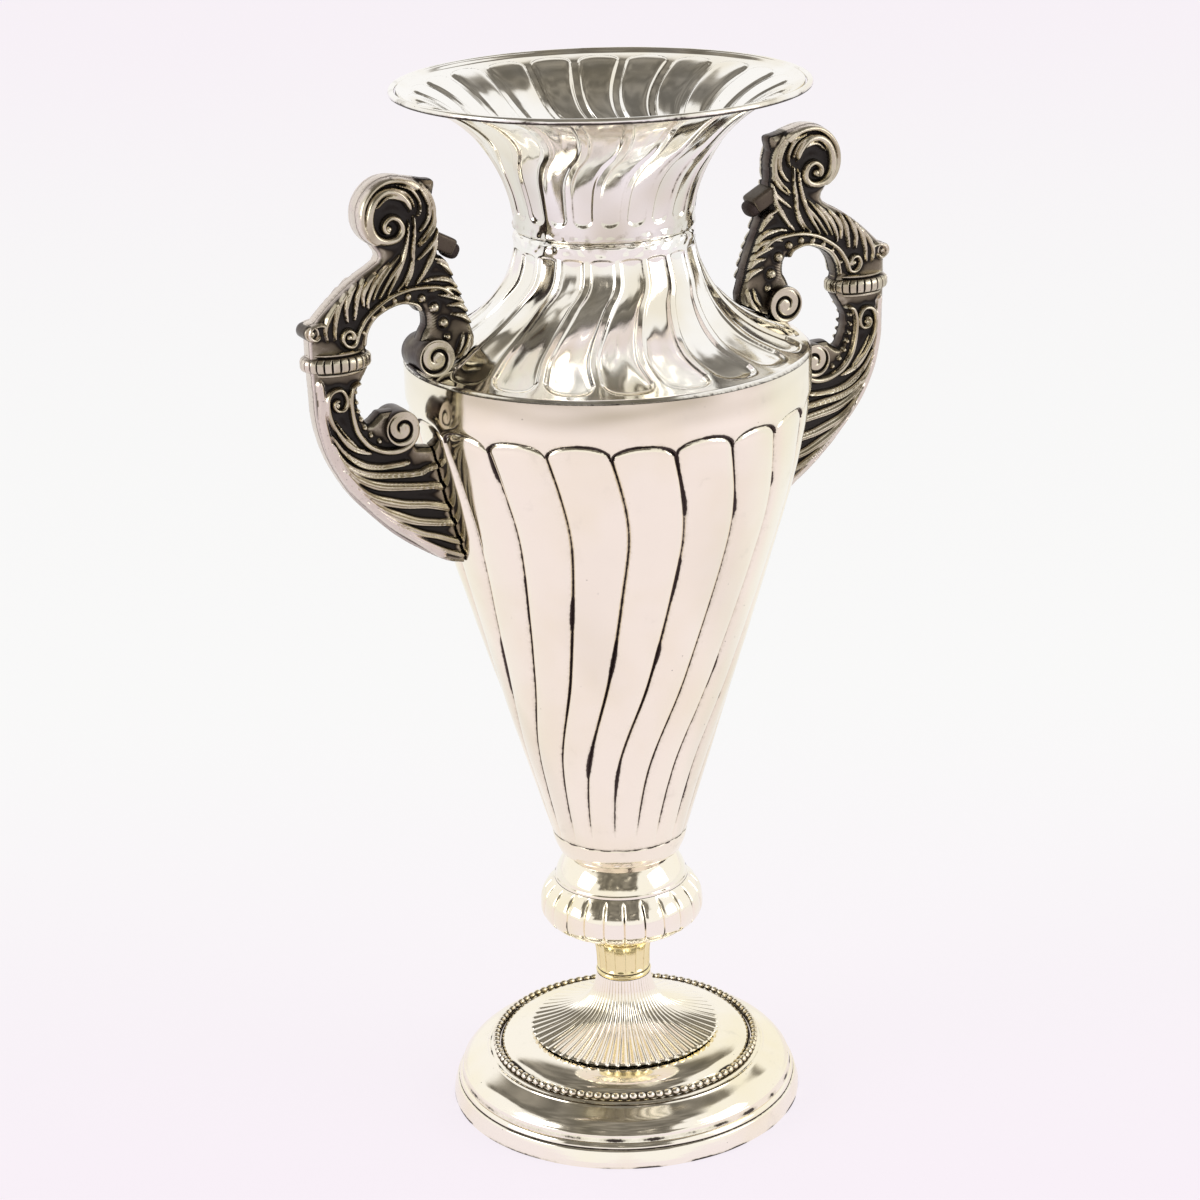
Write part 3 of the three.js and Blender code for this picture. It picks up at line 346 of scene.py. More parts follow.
def antique(name):
    """Cast metal: rubbed pale on what stands proud and outside, near-black in the hollows."""
    s = Shader(name)
    grain = s.noise(260.0, 4.0, 0.6)
    wide = s.noise(60.0, 3.0, 0.55)
    high = s.blend(s.span(wide, 0.4, 0.7), (0.60, 0.55, 0.43), (0.44, 0.39, 0.28))
    mid = s.blend(s.span(grain, 0.35, 0.7), (0.115, 0.095, 0.07), (0.20, 0.168, 0.12))
    cavity = s.maths("ADD", s.mark("cavity"), s.maths("MULTIPLY", s.maths("SUBTRACT", grain, 0.5), 0.3))
    color = s.blend(s.span(cavity, 0.26, 0.52), high, mid)
    color = s.blend(s.span(cavity, 0.44, 0.74), color, (0.014, 0.010, 0.008))
    side = s.maths("MULTIPLY", s.mark("side"), s.span(wide, 0.25, 0.6, 0.75, 1.0))
    color = s.blend(side, color, (0.060, 0.044, 0.040))
    color = s.blend(s.maths("MULTIPLY", s.mark("polish"), 0.85), color, (0.80, 0.72, 0.66))
    specks = s.span(s.noise(900.0, 2.0, 0.5), 0.66, 0.74)
    color = s.blend(s.maths("MULTIPLY", specks, 0.5), color, (0.03, 0.022, 0.018))
    roughness = s.span(cavity, 0.3, 0.9, 0.22, 0.62)
    roughness = s.maths("ADD", roughness, s.maths("MULTIPLY", side, 0.08), clamp=True)
    metal = s.span(cavity, 0.6, 0.95, 1.0, 0.35)
    normal = s.bump(grain, 0.0003, 0.35)
    normal = s.bump(s.noise(1400.0, 2.0, 0.5), 0.0001, 0.35, normal)
    return s.finish(color, roughness, metal, normal)


def steel(name):
    s = Shader(name)
    cloud = s.noise(300.0, 3.0, 0.6)
    color = s.blend(s.span(cloud, 0.35, 0.7), (0.50, 0.51, 0.53), (0.36, 0.36, 0.37))
    normal = s.bump(s.noise(1.0, 2.0, 0.6, vector=s.mapped((900, 900, 4200))), 0.00005, 0.4)
    return s.finish(color, s.span(cloud, 0.3, 0.7, 0.28, 0.45), 1.0, normal)


CREAM = (0.96, 0.90, 0.765)
STRAW = (0.88, 0.80, 0.58)
MATERIALS = {
    "body": silver("plate_body", CREAM, STRAW, 0.4, 0.08, 1.0, (0.062, 0.040, 0.036)),
    "neck": silver("plate_neck", (0.95, 0.94, 0.905), (0.80, 0.72, 0.53), 0.6, 0.06, 1.0),
    "foot": silver("plate_foot", (0.96, 0.91, 0.80), (0.93, 0.85, 0.60), 0.75, 0.05, 0.35),
    "fine": silver("plate_fine", (0.90, 0.84, 0.72), (0.80, 0.70, 0.46), 0.8, 0.09, 0.2, (0.10, 0.075, 0.045)),
    "gilt": silver("gilt_plate", (0.90, 0.79, 0.46), (0.82, 0.66, 0.30), 0.7, 0.08, 0.3),
    "cast": antique("antique_cast_metal"),
    "steel": steel("plain_steel"),
}


def dress(piece, cad_node, material):
    piece.data.materials.append(MATERIALS[material])
    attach(piece, "root")
    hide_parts(cad_node)


# Foot

def foot_band():
    profile = np.array([(102.9, 0.0), (103.0, 1.2), (102.6, 3.0), (101.9, 5.5), (101.15, 8.0), (100.6, 9.6),
                        (99.8, 10.2), (99.0, 10.5), (99.7, 10.9), (99.7, 11.4), (99.1, 12.6), (98.7, 13.2),
                        (98.0, 13.7), (94.2, 13.7), (93.6, 13.2), (97.3, 2.0), (97.9, 0.0)])
    profile[:, 0] = np.minimum(profile[:, 0], 102.9)
    corners = np.concatenate([spread(profile[:13], np.linspace(0, 1, 46)), profile[13:]])
    angle = np.broadcast_to(even(400)[:, None], (400, len(corners)))
    z = np.broadcast_to(corners[:, 1], angle.shape)
    outside = np.concatenate([np.ones(46), np.zeros(len(corners) - 46)])
    uneven = 0.10 * waves(angle, z, 3, 24) - 0.12
    chips = -0.9 * smooth(waves(angle, z, 5, 14, 10), 1.25, 2.0) * smooth(z, 4.0, 0.5)
    r = corners[:, 0] + outside * (uneven + chips)
    line = np.exp(-((z - 10.5) / 0.55) ** 2) * outside
    rub = smooth(z, 2.2, 0.0) * outside * (0.45 + 0.5 * waves(angle, z, 8, 18))
    piece = revolve("urn_foot_rim_band", r, z, angle, {"tarnish": np.clip(0.75 * line + rub, 0, 1)}, 50)
    dress(piece, "foot_rim_band", "foot")


def foot_ogee():
    base = bezier((98.0, 14.0), (BEAD_RING_RADIUS + BEAD_RADIUS, OGEE_TOP), (0.16, 0.7), (0.53, 0.64), 200)
    seat = np.array([(BEAD_RING_RADIUS, OGEE_TOP), (BEAD_RING_RADIUS - BEAD_RADIUS, OGEE_TOP)])
    line = np.concatenate([spread(base, np.linspace(0, 1, 90)), seat])
    angle = np.broadcast_to(even(360)[:, None], (360, len(line)))
    r = line[:, 0]
    push = 0.05 * waves(angle, line[:, 1], 11, 60) + 0.03 * waves(angle, line[:, 1], 12, 22)
    roll = 0.45 * np.exp(-((r - 81.6) / 0.45) ** 2) + 0.3 * np.exp(-((r - 96.6) / 0.4) ** 2)
    step = -0.25 * smooth(r, 81.0, 80.2)
    push = (push + roll + step) * smooth(r, 98.0, 97.3) * smooth(r, 79.2, 80.5)
    seam = np.exp(-((r - 80.4) / 0.5) ** 2) * 0.5 + np.exp(-((r - 97.6) / 0.5) ** 2) * 0.55
    tarnish = np.broadcast_to(seam, push.shape) * (0.8 + 0.4 * waves(angle, line[:, 1], 15, 16))
    piece = shell("urn_foot_ogee", line, angle, push, {"tarnish": tarnish}, level_end=False)
    dress(piece, "foot_ogee", "foot")


def bead_wire():
    per, sides = 12, 16
    angle = even(BEAD_COUNT * per)
    share = (np.arange(BEAD_COUNT * per) % per) / per
    swell = np.sqrt(np.clip(1 - (2 * share - 1) ** 2, 0, 1))
    radius = np.maximum(BEAD_WIRE_RADIUS, BEAD_RADIUS * swell)
    around = np.arange(sides) / sides * TURN
    r = BEAD_RING_RADIUS + radius[:, None] * np.cos(around)
    z = BEAD_RING_HEIGHT + radius[:, None] * np.sin(around)
    a = np.broadcast_to(angle[:, None], r.shape)
    low = smooth(np.sin(around), 0.2, -0.6)
    tarnish = np.clip((1 - swell)[:, None] * 1.3 + 0.75 * low, 0, 1)
    piece = revolve("urn_bead_wire", r, z, a, {"tarnish": tarnish}, 80)
    dress(piece, "bead_wire", "fine")


def foot_dome():
    edge = (BEAD_RING_RADIUS - BEAD_RADIUS - SEAT_GAP, OGEE_TOP)
    rise = bezier(edge, (34.0, 39.0), (0.05, 0.68), (0.36, 1.0), 200)
    line = np.concatenate([spread(rise, np.linspace(0, 1, 80)), [(20.0, 39.0), (BORE_RADIUS, 39.0)]])
    angle = np.broadcast_to(even(320)[:, None], (320, len(line)))
    push = 0.05 * waves(angle, line[:, 0], 21, 60) * smooth(line[:, 0], 74.4, 70.0) * smooth(line[:, 0], 34.0, 45.0)
    seam = np.exp(-((line[:, 0] - 73.6) / 0.9) ** 2) * 0.8
    tarnish = np.broadcast_to(seam, push.shape) * (0.8 + 0.5 * waves(angle, line[:, 1], 25, 14))
    piece = shell("urn_foot_dome", line, angle, push, {"tarnish": tarnish}, level_start=False, level_end=False)
    dress(piece, "foot_dome", "foot")


def foot_trumpet():
    rise = bezier((55.4, 40.1), (15.6, 74.4), (0.56, 0.19), (0.96, 0.28), 200)
    line = spread(rise, np.linspace(0, 1, 80))
    per = 12
    share = np.arange(per) / per
    reed = np.sin(math.pi * share) ** 0.65
    reed = np.tile(reed, TRUMPET_FLUTES)
    angle = even(TRUMPET_FLUTES * per)
    t = lengths(line) / lengths(line)[-1]
    depth = np.interp(t, [0, 0.5, 0.9, 1], [1.15, 1.05, 0.6, 0.35])
    push = (reed[:, None] - 0.15) * depth
    # scalloped outer edge, pressed down on the dome
    reach = (reed[:, None] - 0.5) * 1.4 * smooth(t, 0.035, 0.0)
    line_grid = np.broadcast_to(line[:, 0], push.shape)
    a = np.broadcast_to(angle[:, None], push.shape)
    nr, nz, ir, iz = shell_section(line, sheet=1.2, level_start=False)
    push = push * smooth(t, -0.02, 0.03) + 0.0 * line_grid
    r = line[:, 0] + push * nr + reach
    z = line[:, 1] + push * nz
    keep = list(range(len(line) - 1, 0, -4)) + [0]
    inner_r, inner_z = (line[:, 0] + ir)[keep], (line[:, 1] + iz)[keep]
    inner_r = np.broadcast_to(inner_r, (len(r), len(keep)))
    inner_z = np.broadcast_to(np.maximum(inner_z, 39.3), inner_r.shape)
    r, z = np.concatenate([r, inner_r], 1), np.concatenate([z, inner_z], 1)
    valley = np.broadcast_to((1 - reed)[:, None] ** 2.2, push.shape)
    tarnish = valley * np.interp(t, [0, 0.3, 1], [0.42, 0.34, 0.55]) * (0.85 + 0.3 * waves(a, line[:, 1], 31, 26)) \
        * smooth(t, 0.005, 0.05)
    tarnish = np.concatenate([np.clip(tarnish, 0, 1), np.zeros(inner_r.shape)], 1)
    piece = revolve("urn_foot_trumpet", r, z, np.broadcast_to(angle[:, None], r.shape), {"tarnish": tarnish}, 70)
    dress(piece, "foot_trumpet", "foot")


# Stem

def stem_collar():
    rise = bezier((15.6, 74.7), (20.8, 101.5), (-0.06, 0.44), (0.05, 0.86), 200)
    line = spread(rise, np.linspace(0, 1, 90))
    per = 14
    share = np.tile(np.arange(per) / per, COLLAR_FLUTES)
    angle = even(COLLAR_FLUTES * per)
    z = line[:, 1]
    zone = smooth(z, 77.6, 80.0) * smooth(z, 98.6, 95.0)
    hollow = np.sin(math.pi * share)[:, None] ** 0.7
    push = -1.15 * hollow * zone
    push = push + 0.6 * np.exp(-((z - 76.1) / 0.8) ** 2) * smooth(z, 74.7, 75.4) - 0.4 * np.exp(-((z - 77.6) / 0.5) ** 2)
    frill = 0.5 + 0.4 * np.cos(2 * TURN * share)[:, None]
    push = push + frill * np.exp(-((z - 99.0) / 0.9) ** 2) * smooth(z, 101.5, 100.6)
    a = np.broadcast_to(angle[:, None], push.shape)
    seam = np.exp(-((z - 77.6) / 0.5) ** 2) * 0.8 + np.exp(-((z - 97.2) / 0.6) ** 2) * 0.5
    tarnish = np.broadcast_to(seam, push.shape) + 0.45 * (1 - hollow) ** 3 * zone
    piece = shell("urn_stem_collar", line, a, push, {"tarnish": np.clip(tarnish, 0, 1)})
    dress(piece, "stem_collar", "gilt")


def knop_lower():
    under = bezier((20.8, 101.8), (47.4, 119.4), (0.19, 0.2), (1, 0.34), 120)
    over = bezier((47.4, 119.4), (38.9, 137.2), (0, 0.62), (0.51, 0.69), 120)
    rise = np.concatenate([under, over[1:]])
    line = spread(rise, np.linspace(0, 1, 120))
    shares = repeat_shares([0, 0.012, 0.03, 0.055, 0.09, 0.14, 0.21], [0.3, 0.4])
    share = np.tile(shares, KNOP_LOBES)
    angle = (np.repeat(np.arange(KNOP_LOBES), len(shares)) + share) / KNOP_LOBES * TURN + 4.5 * RAD
    z, r = line[:, 1], line[:, 0]
    a = np.broadcast_to(angle[:, None], (len(angle), len(line)))
    gap = np.minimum(share, 1 - share)[:, None] * TURN * r / KNOP_LOBES
    zone = smooth(z, 102.5, 113.0) * smooth(z, 137.0, 133.5)
    t = np.clip(gap / 2.8, 0, 1)
    groove = 1.3 * (1 - np.sqrt(1 - (1 - t) ** 2)) + 0.4 * np.exp(-(gap / 0.5) ** 2)
    push = -groove * zone + 0.04 * waves(a, z, 41, 20) * smooth(z, 102.0, 105.0) * smooth(z, 137.0, 134.0)
    streak = smooth(waves(a, z, 43, 12), -0.3, 0.8)
    tarnish = np.exp(-(gap / 0.6) ** 2) * zone * 0.75 * streak
    tarnish = tarnish + np.exp(-((z - 136.4) / 0.6) ** 2) * 0.35 * streak + smooth(z, 103.5, 101.8) * 0.4
    piece = shell("urn_knop_lower", line, a, push, {"tarnish": np.clip(tarnish, 0, 1)}, level_start=False)
    dress(piece, "knop_lower", "foot")


def knop_upper():
    rise = bezier((38.9, 137.5), (28.0, 154.9), (0.02, 0.35), (0.5, 0.8), 200)
    line = spread(rise, np.linspace(0, 1, 80))
    angle = np.broadcast_to(even(260)[:, None], (260, len(line)))
    z = line[:, 1]
    push = 0.05 * waves(angle, z, 51, 26) * smooth(z, 138.2, 141.0) * smooth(z, 154.9, 151.0)
    push = push - 0.4 * smooth(z, 138.8, 139.6) * smooth(z, 156.0, 146.0) - 0.1
    seam = np.exp(-((z - 139.2) / 0.4) ** 2) * 0.5
    tarnish = np.broadcast_to(seam, push.shape) * (0.8 + 0.5 * waves(angle, z, 55, 16)) + 0.5 * smooth(z, 153.6, 154.8)
    piece = shell("urn_knop_upper", line, angle, push, {"tarnish": np.clip(tarnish, 0, 1)})
    dress(piece, "knop_upper", "foot")


# Body

def body_cup():
    rise = bezier((34.3, 155.2), (39.3, 168.4), (0.46, 0.18), (0.9, 0.58), 200)
    line = spread(rise, np.linspace(0, 1, 50))
    angle = even(260)
    z = line[:, 1]
    a = np.broadcast_to(angle[:, None], (260, 50))
    push = 0.05 * waves(a, z, 61, 20) + 0.35 * np.exp(-((z - 156.6) / 1.0) ** 2) \
        * (0.6 + 0.5 * waves(a, z, 62, 10)) * smooth(z, 155.2, 156.0)
    push = push * smooth(z, 168.4, 167.6) - 0.35 * np.exp(-((z - 168.1) / 0.5) ** 2)
    outer_r = line[:, 0] + push
    inner = line[::-4]
    count = len(inner)
    r = np.concatenate([outer_r, np.broadcast_to(inner[:, 0] - SHEET, (260, count)),
                        np.full((260, 2), BORE_RADIUS)], 1)
    inner_z = np.maximum(inner[:, 1], 155.2 + SHEET)
    z_all = np.concatenate([z, inner_z, [155.2 + SHEET, 155.2]])
    tarnish = 0.75 * np.exp(-((z - 168.2) / 0.6) ** 2) * (0.8 + 0.4 * waves(a, z, 63, 12)) \
        + smooth(z, 157.0, 155.4) * (0.3 + 0.2 * waves(a, z, 64, 30))
    tarnish = np.concatenate([np.clip(tarnish, 0, 1), np.zeros((260, count + 2))], 1)
    piece = revolve("urn_body_cup", r, np.broadcast_to(z_all, r.shape), np.broadcast_to(angle[:, None], r.shape),
                    {"tarnish": tarnish}, 50)
    dress(piece, "body_cup", "body")


body_line = line_through(BODY_LINE)
body_swirl = line_through(BODY_SWIRL)


def body_shell():
    z = np.concatenate([np.linspace(BODY_BASE, 408, 150), np.linspace(408.8, 434, 66), np.linspace(435, 451.7, 16)])
    r0 = body_line(z)
    line = np.stack([r0, z], 1)
    shares = repeat_shares([0, 0.006, 0.014, 0.024, 0.038, 0.056, 0.082, 0.12], [0.17, 0.24, 0.32, 0.41])
    per, rows = len(shares), len(z)
    width = TURN * r0 / BODY_FLUTES
    rng = np.random.default_rng(71)
    wander = [waves(np.zeros(rows), z, 700 + i, 90, 5) for i in range(BODY_FLUTES)]
    marks, pushes, angles = [], [], []
    for i in range(BODY_FLUTES):
        lift = rng.uniform(-0.9, 0.9)
        swell = rng.uniform(0.9, 1.12)
        # edge of the lobe: two grooves joined by an arch
        u = np.linspace(0, 1, 161)
        arch = SCALLOP_HEIGHT - SCALLOP_RISE + 1.2 + lift \
            + SCALLOP_RISE * np.sqrt(np.clip(1 - np.abs(2 * u - 1) ** 2.3, 0, 1))
        top_width = TURN * body_line(arch) / BODY_FLUTES
        foot = np.arange(BODY_BASE - 2, arch[0], 0.8)
        foot_width = TURN * body_line(foot) / BODY_FLUTES
        edge = np.concatenate([np.stack([(u - 0.5) * top_width, arch], 1),
                               np.stack([-0.5 * foot_width, foot], 1), np.stack([0.5 * foot_width, foot], 1)])
        here = np.stack([(shares[:, None] - 0.5) * width, np.broadcast_to(z, (per, rows))], -1)
        gap = across(here, edge)
        inside = z < np.interp(shares, u, arch)[:, None]
        reach = np.minimum(8.5, 0.44 * width)
        t = np.clip(gap / reach, 0, 1)
        depth = np.interp(z, [BODY_BASE, 200, 260, 340, 410, 430], [0.7, 1.5, 2.4, 2.9, 2.9, 2.3]) * swell
        bulge = depth * (1 - np.sqrt(np.clip(1 - (1 - t) ** 2.2, 0, 1)))
        slot = 0.55 * np.exp(-(gap / 0.8) ** 2) * np.interp(z, [BODY_BASE, 220, 300], [0.3, 0.7, 1.0])
        broad = 0.8 * (1 - np.sin(math.pi * shares)[:, None] ** 0.8) * smooth(z, 180, 300) * smooth(z, 432, 415)
        push = np.where(inside, -bulge - slot - broad, -0.9 * np.exp(-gap / 1.1) - slot * 0.6)
        end = smooth(z, BODY_BASE, BODY_BASE + 3) * smooth(z, 451.7, 449.5)
        push = push * (0.35 + 0.65 * end) * np.where(z > 440, smooth(z, 451.7, 449.5), 1)
        next_wander = wander[(i + 1) % BODY_FLUTES]
        drift = ((1 - shares[:, None]) * wander[i] + shares[:, None] * next_wander) * 0.55 / r0
        angle = (9 + 18 * (i + shares[:, None])) * RAD + body_swirl(z) * RAD + drift
        streak = smooth(waves(np.full((per, rows), 0.0), z, 900 + i, 34, 7), -0.35, 0.75)
        next_streak = smooth(waves(np.full((per, rows), 0.0), z, 900 + (i + 1) % BODY_FLUTES, 34, 7), -0.35, 0.75)
        streak = np.where(shares[:, None] < 0.5, streak, next_streak)
        crown = smooth(z, 412, 422)
        streak = np.maximum(streak * smooth(z, 176, 215), crown * (0.35 + 0.5 * streak))
        spread_out = 0.75 + 1.15 * smooth(waves(np.full((per, rows), 0.0), z, 1100 + i, 26, 6), -0.5, 1.1)
        next_spread = 0.75 + 1.15 * smooth(
            waves(np.full((per, rows), 0.0), z, 1100 + (i + 1) % BODY_FLUTES, 26, 6), -0.5, 1.1)
        spread_out = np.where(shares[:, None] < 0.5, spread_out, next_spread)
        tarnish = np.exp(-(gap / spread_out) ** 2) * streak * 1.15
        # tarnish in a thin line along every groove, and a wider faint band beside it that is painted shade on the
        # groove flanks
        groove_line_and_painted_shade = 0.50 * np.exp(-(gap / 0.6) ** 2) + 0.30 * np.exp(-(gap / 2.6) ** 2)
        tarnish = np.maximum(tarnish, groove_line_and_painted_shade * smooth(z, 170, 190))
        ring_fade = np.where(z > 436, 0, 1)
        marks.append(tarnish * ring_fade)
        pushes.append(push)
        angles.append(angle)
    push, angle, tarnish = np.concatenate(pushes), np.concatenate(angles), np.concatenate(marks)
    hammer = 0.085 * waves(angle, z, 72, 30) + 0.04 * waves(angle, z, 73, 13, 22)
    push = push + hammer * smooth(z, BODY_BASE, 174) * smooth(z, 451.7, 448)
    tarnish = tarnish + 0.6 * np.exp(-((z - 451.3) / 0.5) ** 2) + 0.5 * smooth(z, 171.0, 169.0)
    tail = np.array([(BORE_RADIUS, BODY_BASE + SHEET), (BORE_RADIUS, BODY_BASE)])
    nr, nz, ir, iz = shell_section(line)
    keep = (list(range(rows - 1, 0, -4)))
    outer_r, outer_z = r0 + push * nr, z + push * nz
    inner_r, inner_z = (outer_r + ir)[:, keep], (outer_z + iz)[:, keep]
    inner_z = np.maximum(inner_z, BODY_BASE + SHEET)
    n = len(outer_r)
    r = np.concatenate([outer_r, inner_r, np.broadcast_to(tail[:, 0], (n, 2))], 1)
    zz = np.concatenate([outer_z, inner_z, np.broadcast_to(tail[:, 1], (n, 2))], 1)
    a = np.concatenate([angle, angle[:, keep], np.repeat(angle[:, :1], 2, 1)], 1)
    mark = np.concatenate([np.clip(tarnish, 0, 1), np.zeros((n, len(keep) + 2))], 1)
    # painted reflection: the shoulder band darkens toward its top, most on the side that faces the camera, and faint
    # painted shade lies in patches over the lobes below the arches
    facing = smooth(np.cos(angle - FRONT), 0.45, 0.98)
    band = smooth(z, 433, 447) * (0.12 + 0.6 * facing) * (0.85 + 0.25 * waves(angle, z * 3, 77, 30))
    lobe_painted_shade = smooth(waves(angle, z * 0.5, 78, 60), 0.2, 1.5) * 0.16 * smooth(z, 430, 420)
    shade = np.concatenate([np.clip(band + lobe_painted_shade, 0, 1), np.zeros((n, len(keep) + 2))], 1)
    piece = revolve("urn_body_shell", r, zz, a, {"tarnish": mark, "shade": shade}, 60)
    dress(piece, "body_shell", "body")


# Neck

def panel_push(line, shares, flutes, start_line, end_line, ridge, crest, hollow):
    """Flutes pressed between raised ridges on a flared shell. start_line and end_line give, across a flute,
    how far along the profile the flute starts and ends. Returns push and the distance to the flute's edge."""
    s = lengths(line)
    width = TURN * line[:, 0] / flutes
    half = np.interp(s, *ridge)
    u = np.linspace(0, 1, 121)
    first, last = start_line(u), end_line(u)
    along = np.linspace(0, s[-1], 240)
    wide, thin = np.interp(along, s, width), np.interp(along, s, half)
    side = along[(along > first[0]) & (along < last[0])]
    side_x = np.interp(side, along, 0.5 * wide - thin)

    def scaled(at):
        room = np.interp(at, along, 0.5 * wide - thin)
        return np.stack([(2 * u - 1) * room, at], 1)

    edge = np.concatenate([scaled(first), scaled(last), np.stack([-side_x, side], 1), np.stack([side_x, side], 1)])
    x = (shares[:, None] - 0.5) * width
    here = np.stack([x, np.broadcast_to(s, x.shape)], -1)
    gap = across(here, edge)
    room = 0.5 * width - half
    v = np.clip((x / room + 1) / 2, 0, 1)
    inside = (np.abs(x) < room) & (s > np.interp(v, u, first)) & (s < np.interp(v, u, last))
    signed = np.where(inside, gap, -gap)
    press = smooth(signed, -0.2, 1.7)
    push = crest * (1 - press) - hollow * smooth(signed, 1.0, 5.0)
    return push, signed


def flare_mesh(name, line, flutes, start, swirl, lines, ridge, crest, hollow, seed, shares, ends):
    push, signed = panel_push(line, shares, flutes, lines[0], lines[1], ridge, crest, hollow)
    per, rows = push.shape
    push, signed = np.tile(push, (flutes, 1)), np.tile(signed, (flutes, 1))
    base = (np.repeat(np.arange(flutes), per) + np.tile(shares, flutes)) / flutes * TURN
    z = line[:, 1]
    drift = 0.35 * waves(base[:, None], z, seed + 1, 60) / line[:, 0]
    angle = base[:, None] + start * RAD + swirl(z) * RAD + drift
    s = lengths(line)
    hold = smooth(s, 0, ends[0]) * smooth(s, s[-1], s[-1] - ends[1])
    uneven = 0.07 * waves(angle, s, seed + 2, 26) + 0.035 * waves(angle, s, seed + 3, 11, 22)
    push = (push + uneven) * hold
    return push, signed, angle


def shoulder_flare():
    rise = bezier((SHOULDER_RADIUS, SHOULDER_HEIGHT), (WAIST_RADIUS, WAIST_HEIGHT), (0.72, 0.22), (1, 0.58), 400)
    places = np.concatenate([np.linspace(0, 0.26, 52), np.linspace(0.265, 0.9, 64), np.linspace(0.905, 1, 20)])
    line = spread(rise, places)
    total = lengths(line)[-1]
    shares = repeat_shares([0, 0.03, 0.055, 0.075, 0.095, 0.12, 0.15], [0.19, 0.24, 0.32, 0.41])

    def first(u):
        return 6.0 + 11.0 * (1 - np.sqrt(np.clip(1 - np.abs(2 * u - 1) ** 2.4, 0, 1)))

    def last(u):
        return total - 7.5 - 1.5 * np.abs(2 * u - 1) ** 3

    swirl = line_through(NECK_SWIRL)
    push, signed, angle = flare_mesh(
        "urn_shoulder_flare", line, NECK_FLUTES, 9, swirl, (first, last),
        ([0, 20, 60, total], [2.0, 1.9, 1.7, 1.1]), 1.25, 0.35, 80, shares, (2.5, 2.0))
    z = line[:, 1]
    solder = smooth(z, 512.5, 516.5) * (0.25 + 0.35 * waves(angle, z * 2.5, 88, 9, 24)) * smooth(z, 521.0, 520.4)
    push = push + solder
    streak = smooth(waves(angle, z * 0.7, 85, 26), -0.1, 0.9)
    edge = np.exp(-((signed - 0.6) / 0.6) ** 2)
    tarnish = edge * (0.25 + 0.6 * streak) * 0.8 + smooth(z, 453.0, 452.1) * 0.5
    tarnish = tarnish + smooth(z, 512, 519) * smooth(waves(angle, z * 2, 87, 10, 24), -0.2, 1.2) * 0.42
    piece = shell("urn_shoulder_flare", line, angle, push, {"tarnish": np.clip(tarnish, 0, 1)}, inner_every=4)
    dress(piece, "shoulder_flare", "neck")


def neck_bell():
    top = (RIM_RADIUS - RIM_WIRE_RADIUS - SEAT_GAP, RIM_HEIGHT - 0.5)
    rise = bezier((WAIST_RADIUS, WAIST_HEIGHT + SEAT_GAP), top, (0, 0.4), (0.36, 0.9), 400)
    places = np.concatenate([np.linspace(0, 0.2, 26), np.linspace(0.205, 0.78, 66), np.linspace(0.784, 1, 56)])
    line = spread(rise, places)
    total = lengths(line)[-1]
    shares = repeat_shares([0, 0.03, 0.055, 0.075, 0.095, 0.12, 0.15], [0.19, 0.24, 0.32, 0.41])

    def first(u):
        return 9.0 + 5.0 * (1 - np.sqrt(np.clip(1 - np.abs(2 * u - 1) ** 2.0, 0, 1)))

    def last(u):
        return total - 6.5 - 8.0 * (1 - np.sqrt(np.clip(1 - np.abs(2 * u - 1) ** 2.5, 0, 1)))

    swirl = line_through(BELL_SWIRL)
    push, signed, angle = flare_mesh(
        "urn_neck_bell", line, BELL_FLUTES, BELL_START, swirl, (first, last),
        ([0, 20, 60, total], [1.3, 1.5, 1.9, 2.0]), 1.2, 0.3, 90, shares, (2.0, 2.5))
    z, s = line[:, 1], lengths(line)
    solder = smooth(z, 528.0, 523.5) * (0.25 + 0.35 * waves(angle, z * 2.5, 98, 9, 24)) * smooth(z, 521.3, 522.0)
    push = push + solder
    streak = smooth(waves(angle, s * 0.7, 95, 26), -0.1, 0.9)
    edge = np.exp(-((signed - 0.6) / 0.6) ** 2)
    tarnish = edge * (0.2 + 0.5 * streak) * 0.8
    tarnish = tarnish + smooth(z, 531, 524) * smooth(waves(angle, z * 2, 97, 10, 24), -0.2, 1.2) * 0.42
    nr, nz, ir, iz = shell_section(line, level_end=False)
    keep = list(range(len(line) - 1, 0, -2)) + [0]
    outer_r, outer_z = line[:, 0] + push * nr, line[:, 1] + push * nz
    inner_r, inner_z = (outer_r + ir)[:, keep], (outer_z + iz)[:, keep]
    lap = WAIST_RADIUS - SHEET - SEAT_GAP
    tail = np.array([(lap - SHEET, WAIST_HEIGHT - 7), (lap, WAIST_HEIGHT - 7), (lap, WAIST_HEIGHT + SEAT_GAP)])
    inner_r[:, -1] = lap - SHEET
    inner_z[:, -1] = WAIST_HEIGHT + SEAT_GAP + SHEET
    n = len(outer_r)
    r = np.concatenate([outer_r, inner_r, np.broadcast_to(tail[:, 0], (n, 3))], 1)
    zz = np.concatenate([outer_z, inner_z, np.broadcast_to(tail[:, 1], (n, 3))], 1)
    a = np.concatenate([angle, angle[:, keep], np.repeat(angle[:, :1], 3, 1)], 1)
    inner_mark = np.exp(-((signed + 0.2) / 0.6) ** 2) * (0.15 + 0.45 * streak)
    mark = np.concatenate([np.clip(tarnish, 0, 1), inner_mark[:, keep], np.zeros((n, 3))], 1)
    # painted reflection: the outside of the bell is darkened toward its lower part, as if it mirrored the shoulder
    tarnish_and_painted_shade = smooth(z, 590, 545) * 0.42 * (0.8 + 0.35 * waves(angle, z, 96, 40))
    shade = np.concatenate([np.clip(tarnish_and_painted_shade, 0, 1), np.zeros((n, len(keep) + 3))], 1)
    piece = revolve("urn_neck_bell", r, zz, a, {"tarnish": mark, "shade": shade}, 60)
    dress(piece, "neck_bell", "neck")


